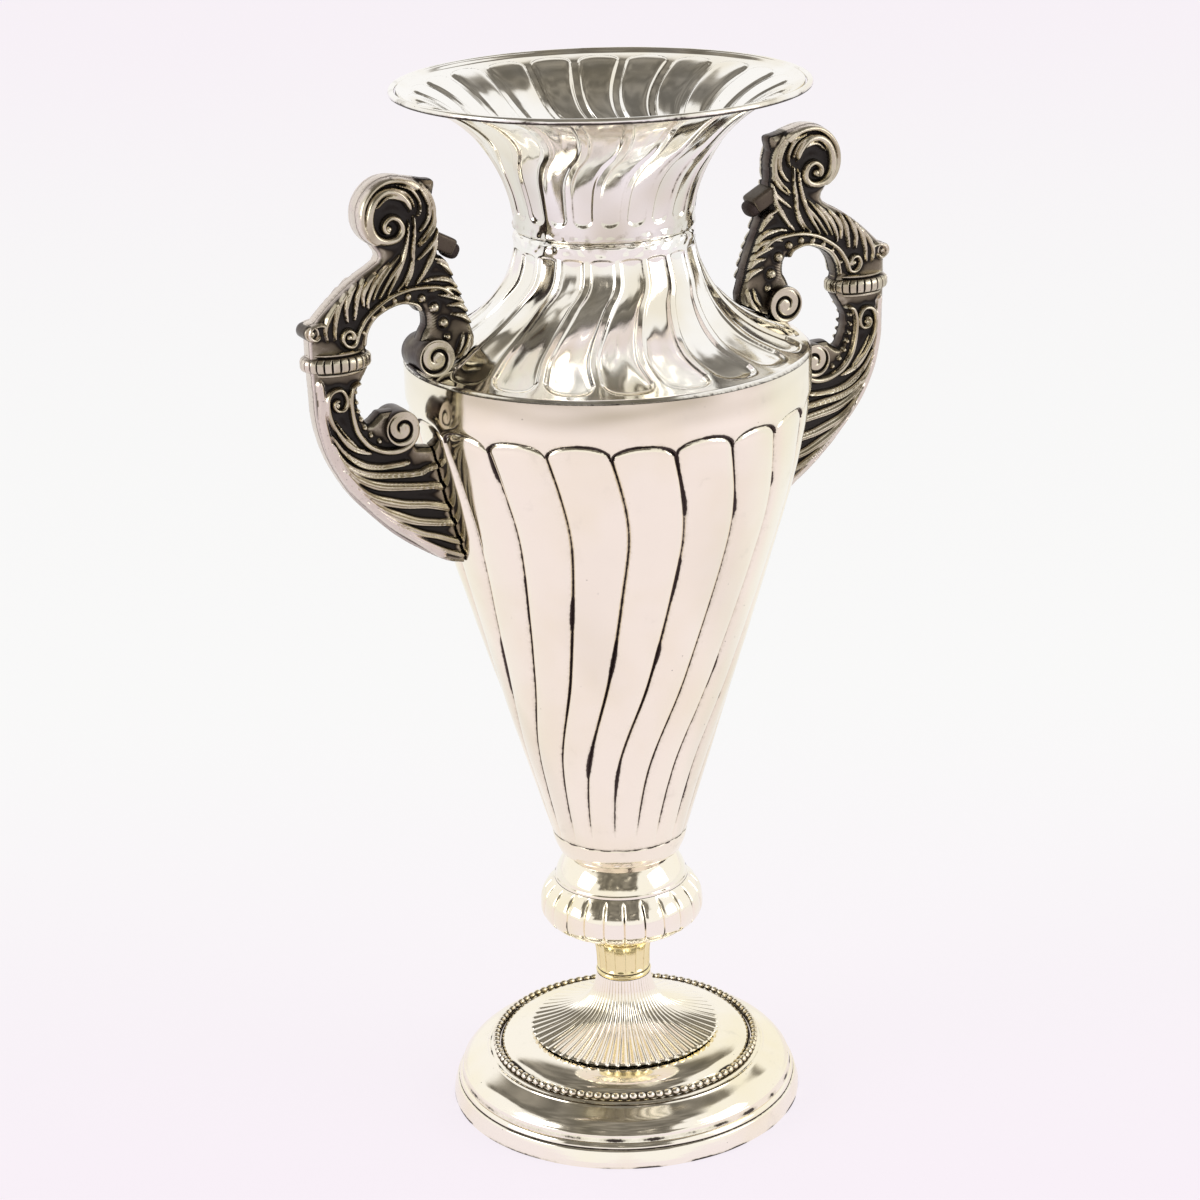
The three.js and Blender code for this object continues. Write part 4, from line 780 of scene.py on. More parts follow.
def rim_wire():
    columns, sides = 420, 18
    angle = np.broadcast_to(even(columns)[:, None], (columns, sides))
    around = np.arange(sides) / sides * TURN
    dent = -0.08 + 0.08 * waves(angle, around * 3, 101, 16) + 0.03 * waves(angle, around * 3, 102, 7, 20)
    radius = RIM_WIRE_RADIUS * 0.94 + np.minimum(dent, 0.1)
    r = RIM_RADIUS + radius * np.cos(around)
    z = RIM_HEIGHT + np.minimum(radius, 1.72) * np.sin(around)
    tarnish_and_painted_shade = smooth(np.sin(around), 0.2, -0.6) * 0.8 + 0.4 * smooth(waves(angle, around * 2, 103, 12), 0.2, 1.2)
    piece = revolve("urn_rim_wire", r, z, angle, {"tarnish": np.clip(tarnish_and_painted_shade, 0, 1)}, 80)
    dress(piece, "rim_wire", "neck")


# Handles: relief in the plane of a handle, [out, up] from the shoulder edge

HANDLE_STEP = 0.42
EDGE_HALF, FLOOR_HALF = 4.6, 6.2
UPPER_VOLUTE = dict(out=-4.9, up=13.1, radius=10.3, half=12.4, pitch=6.3, core=2.5)
LOWER_VOLUTE = dict(out=15.6, up=-22.9, radius=9.6, half=9.8, pitch=5.9, core=2.1)
EAR_ROLL = dict(out=62.6, up=34.6, radius=4.2, half=6.5, pitch=2.6, core=1.2)
RING = dict(out=48, up=17.0, radius=19.4, squash=0.7, ribs=26)
NUB = dict(out=-19.2, up=70.2, tilt=28)

# Outline of the plate behind the relief
HANDLE_SPINE = [[-18, -105], [-8, -102], [8, -92], [21, -82], [33, -70], [44, -57.5], [51.5, -45.5], [57, -34],
                [60.5, -22.5], [62.5, -11], [63, 3], [63.5, 14], [63.5, 28], [63, 36]]
HANDLE_BACK = [[59, 41], [51, 48.5], [43, 55], [34, 61], [23, 67.5], [22.5, 72]]
HANDLE_TOP = [[26, 77], [31, 82.5], [33.6, 90], [33, 98], [28.5, 105], [21, 109.6], [12, 110.8], [3, 109.5], [-5, 107.5],
              [-10.4, 106.2], [-9.8, 101], [-8.4, 95], [-10, 88], [-10.6, 80], [-10.5, 70], [-12, 63]]
HANDLE_INSIDE = [[-15.5, 62], [-18.5, 55], [-22, 47], [-25, 39], [-27, 31], [-29, 24], [-30, 18], [-26, 6], [-12, -6]]
HANDLE_GAP = [[2, 3], [4, 12], [0, 24], [-3, 30], [-2.2, 37], [2, 41], [9, 43], [16, 42.8], [22.5, 40.2], [28, 36], [31.5, 30],
              [32.7, 24], [31.5, 19], [31.8, 13], [35.6, 6.5], [39, 0], [39.3, -6], [37.2, -13.4], [33, -19], [26, -14],
              [15.6, -14], [8, -23], [8.5, -31], [6, -36], [-12, -39], [-30, -105]]

# Relief strokes: line in readings from the photograph, half widths along it, height of the crown, vein
LEAF, BAND = (0.35, 1.0, 0.45), (1.0, 1.0, 1.0)
STROKES = [
    # top scroll
    ([(2, 105), (10, 110), (20, 110.6), (28, 106.6), (33.4, 99), (34.4, 90), (31.4, 83), (25.5, 78.6)], 1.9, BAND, 9.4, 0),
    ([(7, 95), (9, 99.5), (14, 104.4), (21, 105.4), (27, 101.6), (30.2, 94.6), (30.2, 87.5), (27, 82), (21.5, 79.6),
      (16, 80.2), (12.8, 83.2), (12.4, 87), (14.6, 90.6), (18.5, 91.8), (21.8, 89.8), (22.8, 87), (21.6, 84.6), (19.6, 84.3)],
     2.9, (0.7, 1.0, 0.55), 10.6, 0),
    ([(7, 93.6), (8.6, 97.6), (13, 101.4), (20, 102.2), (26, 97.6)], 1.6, LEAF, 9.6, 0),
    ([(12, 111), (4, 108.6), (-1.5, 103), (-4.2, 96.5), (-4, 90.5), (-1.5, 86), (2, 82.5)], 1.9, LEAF, 9.8, 1),
    ([(0, 108), (-4.8, 102), (-7, 95), (-6.6, 88), (-3.6, 83), (0, 79.4), (3.2, 75.8)], 1.6, LEAF, 9.0, 0),
    ([(14, 108.4), (6, 105.2), (1.8, 99.5), (1.2, 94.5), (2.4, 91)], 1.35, LEAF, 10.0, 0),
    ([(17, 107.6), (10, 104.6), (6, 100.2), (4.6, 95.4)], 1.1, LEAF, 9.8, 0),
    # leaves down the stem
    ([(-8, 90), (-7, 84.5), (-3, 79.2), (2.6, 74.6)], 1.35, LEAF, 9.2, 0),
    ([(-9, 83), (-7, 77), (-2, 72.2), (3.6, 67.6)], 1.7, LEAF, 9.4, 1),
    ([(-8.6, 77), (-5, 69), (0, 61), (5.4, 54.8)], 2.0, LEAF, 9.6, 1),
    ([(4.8, 91), (5, 82), (6.2, 74), (6.8, 66), (8.2, 60), (12, 54.2)], 1.5, LEAF, 9.8, 1),
    ([(8, 89), (9.2, 80), (11.6, 71), (15, 63), (19.6, 55.4), (22.4, 51)], 1.6, LEAF, 9.8, 1),
    ([(7.6, 68), (9.4, 61.5), (13, 56), (16.5, 53)], 1.2, LEAF, 9.0, 0),
    ([(10, 73), (14, 67), (20, 60), (24, 54.4), (27.4, 49.6)], 1.5, LEAF, 9.3, 0),
    ([(14, 71.5), (20, 65.5), (25.4, 59), (29, 53), (30.6, 49)], 1.5, LEAF, 8.8, 0),
    # leaf over the outer shoulder
    ([(20, 68), (26.4, 62), (31, 55.5), (33.6, 49), (33.6, 45)], 1.9, LEAF, 9.2, 1),
    ([(28, 64), (33.4, 58.5), (36.4, 52.5), (36.2, 46.4)], 1.9, LEAF, 9.4, 1),
    ([(35, 62), (39.2, 54), (40.8, 47), (41.8, 40.4)], 1.9, LEAF, 9.6, 1),
    ([(39.4, 60), (43.8, 54), (46.4, 47), (46, 39.6)], 1.9, LEAF, 9.6, 1),
    ([(45, 56), (50.4, 48), (53, 39), (53.4, 31)], 1.9, LEAF, 9.2, 1),
    ([(50.6, 51), (56, 43.4), (58.6, 37), (57.6, 31)], 1.7, LEAF, 8.8, 0),
    ([(58, 39), (62, 40), (66.6, 38.6), (67.6, 34.6), (64.4, 32.4), (61.8, 34.4)], 1.2, BAND, 8.6, 0),
    # arch over the finger gap and its small scroll
    ([(-16, 46.5), (-9, 51.2), (0, 52.6), (10, 52.6), (20, 50.2), (28, 46), (35, 40.6), (39.6, 34), (42.6, 27.4), (47, 27.4),
      (49.4, 31.2), (47.6, 35), (44.4, 35), (42.6, 32.4), (44, 30.4)], 1.45, BAND, 9.8, 0),
    ([(2.5, 40), (5, 43.6), (12, 45.8), (18.6, 45.2), (25.6, 42.6), (31, 39), (35, 33), (36.6, 25.6)], 1.2, BAND, 8.2, 0),
    # body side
    ([(-14.6, 62), (-11, 65.4), (-5.6, 67.4)], 1.5, LEAF, 8.8, 1),
    ([(-17, 56.4), (-13.6, 61), (-8, 65)], 1.4, LEAF, 8.4, 0),
    ([(-19.4, 50), (-14, 54.6), (-6, 56.4), (1, 55.6)], 1.8, LEAF, 9.0, 1),
    ([(-21.6, 45.6), (-17, 49.4), (-10, 51), (-2, 50)], 1.6, LEAF, 9.2, 0),
    ([(-23, 41), (-18, 44.6), (-8, 47.4)], 1.8, LEAF, 9.0, 1),
    ([(-25, 36), (-20, 40.4), (-13, 41)], 1.8, LEAF, 9.0, 1),
    ([(-26.6, 29.6), (-22, 34), (-15, 36)], 1.8, LEAF, 8.8, 1),
    ([(-25.6, 25), (-23.6, 17.6), (-18.6, 11), (-13, 6)], 1.9, LEAF, 9.4, 1),
    ([(-21.6, 24.6), (-20, 19), (-16.4, 13.4)], 1.5, LEAF, 8.8, 0),
    ([(-17, 6), (-11, 3.4), (-4, 2.8), (2, 5.4), (7, 8.6)], 1.9, LEAF, 9.6, 1),
    # straps below the ring
    ([(40.4, 6.4), (44.4, 5), (46.4, 0), (46.4, -8), (44.4, -18), (41, -24.4), (36, -29.4), (28, -33), (20, -33.6), (13.4, -31),
      (9.8, -26), (9.2, -20.4)], 2.0, (0.7, 1.0, 1.2), 10.0, 0),
    ([(40, -30.6), (47.6, -27), (53.6, -20.4), (58, -13), (60, -5), (59.6, 0.6), (56.6, 4), (52, 4.2), (49.4, 0.8), (49, -3.4),
      (51, -6.6), (54.6, -6.6), (56.4, -4), (55.4, -1.6), (53, -1.4)], 1.7, (0.5, 1.0, 0.75), 9.8, 0),
    ([(56, -12), (52, -18.6), (47.6, -24), (43.4, -28.6)], 0.8, LEAF, 8.6, 0),
    # fan of fronds
    ([(57, -16), (52, -23), (45, -29.6), (36, -33)], 2.3, LEAF, 9.8, 1),
    ([(58.4, -20), (52, -30), (42, -38), (32, -41), (22.4, -41.4), (14, -41)], 2.4, (0.3, 1.0, 0.75), 9.7, 1),
    ([(58.4, -24), (51.6, -36), (39, -44), (22, -47), (9, -48), (4, -46.6), (-4, -45.4)], 2.6, (0.3, 0.95, 0.8), 9.7, 1),
    ([(57.4, -29), (47.6, -43), (34, -51), (17, -54.4), (4, -56), (0, -56.6), (-9, -59)], 3.0, (0.25, 1.0, 0.7), 9.8, 2),
    ([(52.6, -40), (39, -55.6), (21, -63.4), (5, -66.4), (-3.6, -69), (-13, -72)], 3.1, (0.25, 1.0, 0.7), 9.8, 2),
    ([(47.6, -49), (33, -63.6), (15, -73.4), (1, -77.2), (-7, -78.6), (-15, -80.6)], 3.0, (0.25, 1.0, 0.7), 9.7, 2),
    ([(41, -59), (25.6, -72.4), (10, -81.4), (-1, -85.4), (-8.6, -88.8), (-16, -91.6)], 2.4, (0.3, 0.95, 0.8), 9.5, 1),
    ([(32, -69), (16, -81.6), (3, -90), (-9, -96), (-16.4, -99)], 2.0, (0.4, 1.0, 0.7), 9.2, 1),
]
SPINE_BAND = ([(63.6, 10), (62.4, 0), (62.6, -10), (61, -20), (57.6, -32), (50.6, -46), (40.6, -58.6), (25.6, -74),
               (10, -86), (-5, -97.6)], 2.3)
BEADS = [(18, 47.8, 1.5), (10, 48.8, 1.9), (2, 46.8, 2.2), (-5, 41, 2.7), (-10, 32, 2.8), (-12, 24, 1.8), (25, 44.6, 1.4),
         (31, 40.4, 1.2), (37, 33, 1.0), (19.8, 85.8, 2.2), (43.2, 1.5, 1.1), (43, -4, 1.3), (42.4, -9, 1.3),
         (41, -13.6, 1.4), (39, -18.4, 1.4), (35.8, -23, 1.4), (31, -27, 1.4), (45.4, 31.6, 1.6), (54, -4, 1.5)]


def from_reading(points):
    return np.array(points, float) * (0.977, 1.0) + (-1.95, -1.4)


def inside_outline(x, y, outline):
    hits = np.zeros(x.shape, bool)
    for (x0, y0), (x1, y1) in zip(outline, np.roll(outline, -1, 0)):
        if y0 != y1:
            hits ^= ((y0 > y) != (y1 > y)) & (x < (x1 - x0) * (y - y0) / (y1 - y0) + x0)
    return hits


def signed_distance(x, y, outline):
    """Distance inside a closed outline, negative outside it."""
    closed = np.concatenate([outline, outline[:1]])
    count = int(lengths(closed)[-1] / 0.45)
    near = across(np.stack([x, y], -1), spread(closed, np.linspace(0, 1, count)))
    return np.where(inside_outline(x, y, outline), near, -near)


def blur(field, size):
    """Gaussian smoothing over size millimetres."""
    reach = max(1, int(2.5 * size / HANDLE_STEP))
    for axis in (0, 1):
        total, weight = 0, 0
        for k in range(-reach, reach + 1):
            w = math.exp(-0.5 * (k * HANDLE_STEP / size) ** 2)
            total, weight = total + w * np.roll(field, k, axis), weight + w
        field = total / weight
    return field


def wall_envelope():
    """Outline [out, up] of the body and the neck with a small clearance."""
    grow = SEAT_GAP + 0.25
    z = np.linspace(330, 430, 30)
    low = np.stack([body_line(z) + grow, z], 1)
    edge = [(SHOULDER_RADIUS + grow, 436), (SHOULDER_RADIUS + grow, SHOULDER_HEIGHT + grow)]
    rise = bezier((SHOULDER_RADIUS, SHOULDER_HEIGHT), (WAIST_RADIUS, WAIST_HEIGHT), (0.72, 0.22), (1, 0.58), 20)[1:]
    rise = rise + (grow, grow + 1.3)
    outline = np.concatenate([low, edge, rise, [(0, WAIST_HEIGHT + 2), (0, 330)]])
    return outline - (SHOULDER_RADIUS, SHOULDER_HEIGHT)


def handle_relief():
    """Fields over the plane of a handle: inside distance, half thickness, hollow and polish."""
    u, v = np.arange(-34, 75, HANDLE_STEP), np.arange(-110, 116, HANDLE_STEP)
    x, y = np.meshgrid(u, v, indexing="ij")
    outline = np.concatenate([spread(catmull(HANDLE_SPINE, 200), np.linspace(0, 1, 60)),
                              spread(catmull(HANDLE_BACK, 60), np.linspace(0, 1, 20)), catmull(HANDLE_TOP, 90),
                              catmull(HANDLE_INSIDE, 50), catmull(HANDLE_GAP[:20], 90), HANDLE_GAP[20:]])
    inside = signed_distance(x, y, outline)
    relief = np.zeros(x.shape)
    carved = np.zeros(x.shape)
    polish = np.zeros(x.shape)

    def near(points, reach):
        low, high = points.min(0) - reach, points.max(0) + reach
        i = slice(max(0, int((low[0] - u[0]) / HANDLE_STEP)), int((high[0] - u[0]) / HANDLE_STEP) + 2)
        j = slice(max(0, int((low[1] - v[0]) / HANDLE_STEP)), int((high[1] - v[0]) / HANDLE_STEP) + 2)
        return i, j

    def stroke(readings, half, taper, crown, vein, shine=0.0):
        line = from_reading(readings)
        count = int(lengths(line)[-1] / 0.22)
        line = spread(catmull(line, 400), np.linspace(0, 1, count))
        t = np.linspace(0, 1, count)
        width = half * np.interp(t, [0, 0.45, 1], taper)
        end = np.minimum(lengths(line), lengths(line)[::-1][0] - lengths(line))
        width = np.maximum(width * np.clip(np.sqrt((end + 0.15) / (1.1 * half)), 0.2, 1), 0.3)
        i, j = near(line, half + 1)
        gx, gy = x[i, j].ravel(), y[i, j].ravel()
        share, gap = np.full(len(gx), 9.0), np.full(len(gx), 99.0)
        for start in range(0, count, 64):
            part = slice(start, start + 64)
            away = np.hypot(gx[:, None] - line[part, 0], gy[:, None] - line[part, 1])
            share = np.minimum(share, (away / width[part]).min(1))
            gap = np.minimum(gap, (away - width[part]).min(1))
        share, gap = share.reshape(x[i, j].shape), gap.reshape(x[i, j].shape)
        dome = np.sqrt(np.clip(1 - share ** 2.4, 0, 1))
        if vein == 1:
            dome = dome - 0.30 * np.exp(-(share / 0.20) ** 2)
        elif vein == 2:
            dome = dome - 0.26 * np.exp(-((share - 0.42) / 0.13) ** 2)
        top = EDGE_HALF + (crown - EDGE_HALF) * dome
        top = np.where(share < 1, top, 0)
        relief[i, j] = np.maximum(relief[i, j], top)
        carved[i, j] = np.maximum(carved[i, j], np.where(share < 1, 1, 0))
        polish[i, j] = np.maximum(polish[i, j], np.where((share < 1) & (top >= relief[i, j]), shine, 0))
        inside[i, j] = np.maximum(inside[i, j], -gap)

    stroke(*SPINE_BAND, BAND, 8.2, 0, 0.75)
    for readings, half, taper, crown, vein in STROKES:
        stroke(readings, half, taper, crown, vein)
    for out, up, radius in BEADS:
        (cx, cy), = from_reading([(out, up)])
        away = np.hypot(x - cx, y - cy) / radius
        bead = np.where(away < 1, FLOOR_HALF + 0.8 + radius * np.sqrt(np.clip(1 - away ** 2, 0, 1)), 0)
        relief = np.maximum(relief, bead)
        carved = np.maximum(carved, away < 1)
    # fine cross hatching in the recess by the upper scroll, and on the spine
    (cx, cy), = from_reading([(-4, 34)])
    zone = np.exp(-(((x - cx) / 4.5) ** 2 + ((y - cy) / 5.5) ** 2) ** 2)
    floor = EDGE_HALF + (FLOOR_HALF - EDGE_HALF) * smooth(inside, 0, 2.4)
    floor = floor + 0.35 * zone * np.sin((x * 0.5 + y) * TURN / 1.5)
    (cx, cy), = from_reading([(21, -76.5)])
    along, aside = (x - cx) * 0.8 + (y - cy) * 0.6, -(x - cx) * 0.6 + (y - cy) * 0.8
    nick = np.exp(-(along / 5.5) ** 6) * np.exp(-(aside / 1.9) ** 4)
    relief = np.where(relief > 0, relief + 0.5 * nick * np.sin(along * TURN / 1.35), 0)
    half = np.maximum(relief, floor)
    clear = -signed_distance(x, y, wall_envelope())
    inside = np.minimum(inside, clear)
    half = half * smooth(inside, -1.5, 0.6) ** 0.15 + 0 * half
    half = blur(half, 0.28)
    low = np.where(inside > 0, half, 3.0)
    hollow = 0.55 * smooth(blur(low, 1.3) - low, -0.25, 1.15) + 0.55 * smooth(blur(low, 3.2) - low, -0.2, 1.6)
    hollow = hollow + 0.42 * (1 - blur(carved, 0.3))
    return x, y, inside, half, np.clip(hollow, 0, 1), polish


class Piece:
    """Collects the surfaces of one object."""

    def __init__(self):
        self.places, self.faces, self.count = [], [], 0
        self.marks = {"cavity": [], "side": [], "polish": []}

    def add(self, places, faces, cavity=0.4, side=0.0, polish=0.0):
        places = np.asarray(places, float).reshape(-1, 3)
        self.places.append(places)
        self.faces.append(np.asarray(faces) + self.count)
        self.count += len(places)
        for label, value in (("cavity", cavity), ("side", side), ("polish", polish)):
            self.marks[label].append(np.broadcast_to(np.asarray(value, float).ravel(), (len(places),)))

    def make(self, name, crease):
        return make_mesh(name, np.concatenate(self.places), np.concatenate(self.faces),
                         {label: np.concatenate(values) for label, values in self.marks.items()}, crease)


def add_relief(piece):
    x, y, inside, half, hollow, polish = handle_relief()
    kept = inside > 0
    cells = kept[:-1, :-1] | kept[1:, :-1] | kept[:-1, 1:] | kept[1:, 1:]
    used = np.zeros(kept.shape, bool)
    for i in (0, 1):
        for j in (0, 1):
            used[i:used.shape[0] - 1 + i, j:used.shape[1] - 1 + j] |= cells
    gx, gy = np.gradient(inside, HANDLE_STEP)
    steep = np.maximum(gx ** 2 + gy ** 2, 0.25)
    outside = np.where(used & (inside < 0), inside, 0)
    px, py = x - outside * gx / steep, y - outside * gy / steep
    number = np.full(kept.shape, -1)
    number[used] = np.arange(used.sum())
    total = int(used.sum())

    def face_ids(a, b, c, d):
        return np.stack([number[a], number[b], number[c], number[d]], -1)

    i, j = np.nonzero(cells)
    flat = face_ids((i, j), (i + 1, j), (i + 1, j + 1), (i, j + 1))
    front = np.stack([px[used] + SHOULDER_RADIUS, -half[used], py[used] + SHOULDER_HEIGHT], 1)
    back = front * (1, -1, 1)
    outer = np.concatenate([catmull(HANDLE_SPINE[1:], 120), catmull(HANDLE_BACK, 60), catmull(HANDLE_TOP[:8], 60)])
    rub = smooth(across(np.stack([px[used], py[used]], -1), spread(outer, np.linspace(0, 1, 500))), 3.6, 1.2)
    edge_share = smooth(inside[used], 1.3, 0.2)
    shine = np.maximum(polish[used], rub * edge_share)
    cavity = hollow[used]
    # the wall between the two faces, with its rows bowed out a little
    pad = np.pad(cells, 1)
    edges = []
    i, j = np.nonzero(pad[1:, 1:-1] != pad[:-1, 1:-1])
    inner = pad[i + 1, j + 1]
    a, b = number[i, j], number[i, j + 1]
    edges.append(np.where(inner[:, None], np.stack([a, b], 1), np.stack([b, a], 1)))
    i, j = np.nonzero(pad[1:-1, 1:] != pad[1:-1, :-1])
    inner = pad[i + 1, j + 1]
    a, b = number[i, j], number[i + 1, j]
    edges.append(np.where(inner[:, None], np.stack([b, a], 1), np.stack([a, b], 1)))
    edges = np.concatenate(edges)
    border = np.unique(edges)
    slot = np.full(total, -1)
    slot[border] = np.arange(len(border))
    norm = np.sqrt(steep)[used][border]
    ox, oy = -gx[used][border] / norm, -gy[used][border] / norm
    rows = (-0.75, -0.4, 0.0, 0.4, 0.75)
    wall = []
    for share in rows:
        bow = 0.55 * (1 - share ** 2)
        wall.append(np.stack([front[border, 0] + bow * ox, -share * front[border, 1] * -1,
                              front[border, 2] + bow * oy], 1))
    ids = [border] + [2 * total + k * len(border) + np.arange(len(border)) for k in range(len(rows))] + [border + total]
    faces = [flat, flat[:, ::-1] + total]
    for first, second in zip(ids[:-1], ids[1:]):
        a, b = slot[edges[:, 0]], slot[edges[:, 1]]
        faces.append(np.stack([first[a], first[b], second[b], second[a]], 1))
    places = np.concatenate([front, back] + wall)
    wall_rub = np.tile(rub[border], len(rows))
    piece.add(places, np.concatenate(faces),
              np.concatenate([cavity, cavity, np.full(len(wall_rub), 0.35)]),
              np.concatenate([np.zeros(2 * total), 1 - wall_rub]),
              np.concatenate([shine, shine, wall_rub * 0.9]))


def add_drum(piece, out, up, radius, half, pitch, core):
    """Scroll drum across the handle with a spiral cut in both faces."""
    columns = 96
    angle = np.arange(columns) / columns * TURN
    face = np.concatenate([np.linspace(0.25, radius - 0.7, 30)])
    edge = np.array([(radius - 0.3, half - 0.12), (radius, half - 0.7)])
    side = np.array([(radius, half * 0.55), (radius + 0.1, 0), (radius, -half * 0.55)])
    turn = (face[None, :] - core) / pitch - angle[:, None] / TURN
    share = turn - np.floor(turn)
    groove = np.exp(-(np.minimum(share, 1 - share) * pitch / 0.8) ** 2)
    dome = 0.35 * np.sin(math.pi * share) ** 0.6
    level = half - 0.45 - 1.7 * groove + dome
    knob = half + 0.1 - 0.3 * (face / core) ** 2
    past = smooth(face, core * 1.15, core * 0.85)
    level = level * (1 - past) + knob * past
    rim = smooth(face, radius - 1.8, radius - 0.9)
    level = level * (1 - rim) + (half - 0.05) * rim
    dark = np.clip(groove * 0.75 * (1 - past) * (1 - rim) + 0.22, 0, 1)
    n = len(face)
    rho = np.concatenate([face, edge[:, 0], side[:, 0], edge[::-1, 0], face[::-1]])
    rho = np.broadcast_to(rho, (columns, len(rho)))
    rest = np.broadcast_to(np.concatenate([edge[:, 1], side[:, 1], -edge[::-1, 1]]), (columns, 7))
    y = np.concatenate([level, rest, -level[:, ::-1]], 1)
    cavity = np.concatenate([dark, np.full((columns, 7), 0.35), dark[:, ::-1]], 1)
    is_side = np.concatenate([np.zeros((columns, n + 1)), np.ones((columns, 5)), np.zeros((columns, n + 1))], 1)
    places = np.stack([SHOULDER_RADIUS + out + rho * np.cos(angle)[:, None], -y,
                       SHOULDER_HEIGHT + up + rho * np.sin(angle)[:, None]], -1)
    rows = rho.shape[1]
    i, k = np.meshgrid(np.arange(columns), np.arange(rows - 1), indexing="ij")
    m = (i + 1) % columns
    faces = np.stack([i * rows + k, m * rows + k, m * rows + k + 1, i * rows + k + 1], -1).reshape(-1, 4)[:, ::-1]
    caps = []
    for row, flip in ((0, False), (rows - 1, True)):
        for start in range(0, columns // 2 - 1):
            quad = [start, start + 1, columns - 2 - start, columns - 1 - start]
            caps.append([q * rows + row for q in (quad[::-1] if flip else quad)])
    piece.add(places, np.concatenate([faces, np.array(caps)[:, ::-1]]), cavity, is_side)


def add_ring(piece):
    """Ribbed collar round the neck of the handle."""
    columns = RING["ribs"] * 14
    angle = np.arange(columns) / columns * TURN
    profile = np.array([(0.5, -6.4), (12.4, -6.4), (14.6, -6.3), (15.6, -5.7), (15.7, -5.0), (15.2, -4.4), (16.0, -4.0),
                        (17.6, -3.7), (18.7, -2.9), (19.3, -1.6), (19.4, 0), (19.3, 1.6), (18.7, 2.9), (17.6, 3.7),
                        (16.0, 4.0), (15.2, 4.4), (16.1, 5.0), (16.2, 5.8), (15.2, 6.3), (12.4, 6.4), (0.5, 6.4)])
    share = np.abs((angle * RING["ribs"] / TURN) % 1 - 0.5) * 2
    groove = smooth(share, 0.70, 0.97)[:, None]
    band = smooth(np.abs(profile[:, 1]), 3.9, 3.2) * (profile[:, 0] > 17)
    rho = profile[:, 0] - 1.15 * groove * band + 0.25 * (1 - groove) * band * np.sqrt(1 - share[:, None] ** 2)
    rho = np.minimum(rho, RING["radius"] + 0.1)
    place = np.stack([SHOULDER_RADIUS + RING["out"] + rho * np.cos(angle)[:, None],
                      rho * RING["squash"] * np.sin(angle)[:, None],
                      np.broadcast_to(SHOULDER_HEIGHT + RING["up"] + profile[:, 1], rho.shape)], -1)
    rows = len(profile)
    i, k = np.meshgrid(np.arange(columns), np.arange(rows - 1), indexing="ij")
    m = (i + 1) % columns
    faces = np.stack([i * rows + k, m * rows + k, m * rows + k + 1, i * rows + k + 1], -1).reshape(-1, 4)
    deep = groove * band + np.exp(-((np.abs(profile[:, 1]) - 4.3) / 0.5) ** 2) * 0.9
    outward_rub = smooth(np.cos(angle), 0.75, 0.98)[:, None]
    piece.add(place, faces, np.clip(0.28 + 0.7 * deep, 0, 1), 0.0, outward_rub * np.ones(rho.shape) * 0.6)


def add_block(piece, center, size, tilt, power, side):
    """Block with rounded corners."""
    columns, rows = 56, 29
    a = np.arange(columns) / columns * TURN
    b = np.linspace(-math.pi / 2 + 0.02, math.pi / 2 - 0.02, rows)

    def soft(value):
        return np.sign(value) * np.abs(value) ** power

    x = size[0] * soft(np.cos(b))[None, :] * soft(np.cos(a))[:, None]
    z = size[2] * soft(np.cos(b))[None, :] * soft(np.sin(a))[:, None]
    y = np.broadcast_to(size[1] * soft(np.sin(b)), x.shape)
    t = tilt * RAD
    places = np.stack([center[0] + x * math.cos(t) - z * math.sin(t), center[1] + y,
                       center[2] + x * math.sin(t) + z * math.cos(t)], -1)
    i, k = np.meshgrid(np.arange(columns), np.arange(rows - 1), indexing="ij")
    m = (i + 1) % columns
    faces = np.stack([i * rows + k, i * rows + k + 1, m * rows + k + 1, m * rows + k], -1).reshape(-1, 4)
    caps = []
    for row, flip in ((0, False), (rows - 1, True)):
        for start in range(0, columns // 2 - 1):
            quad = [start, start + 1, columns - 2 - start, columns - 1 - start]
            caps.append([q * rows + row for q in (quad if flip else quad[::-1])])
    piece.add(places, np.concatenate([faces, np.array(caps)]), 0.45 + 0.3 * side, side)


def handles():
    piece = Piece()
    add_relief(piece)
    for drum in (UPPER_VOLUTE, LOWER_VOLUTE, EAR_ROLL):
        add_drum(piece, **drum)
    add_ring(piece)
    place = (SHOULDER_RADIUS + NUB["out"], 0, SHOULDER_HEIGHT + NUB["up"])
    add_block(piece, (place[0] + 5.0, 0, place[2] + 2.6), (7.5, 7.2, 4.6), NUB["tilt"], 0.3, 0.35)
    add_block(piece, (place[0] - 0.5, 0, place[2] - 2.2), (4.9, 6.0, 4.6), NUB["tilt"], 0.75, 0.9)
    right = piece.make("urn_handle_right", 50)
    left = bpy.data.objects.new("urn_handle_left", right.data.copy())
    bpy.context.scene.collection.objects.link(left)
    left.data.transform(Matrix.Rotation(math.pi, 4, "Z"))
    dress(right, "handle_right", "cast")
    left.data.materials.clear()
    dress(left, "handle_left", "cast")


foot_band()
foot_ogee()
bead_wire()
foot_dome()
foot_trumpet()
stem_collar()
knop_lower()
knop_upper()
body_cup()
body_shell()
shoulder_flare()
neck_bell()
rim_wire()
handles()

for label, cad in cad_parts.items():
    if label.startswith(("side_", "top_", "tie_rod", "foot_washer", "foot_nut", "body_washer", "body_nut")):
        cad.data.materials.clear()
        cad.data.materials.append(MATERIALS["steel"])

# Floor, light and camera

TO_CAMERA = Vector((-0.453990, -0.891007, 0.0))
TO_RIGHT = Vector((0.891007, -0.453990, 0.0))


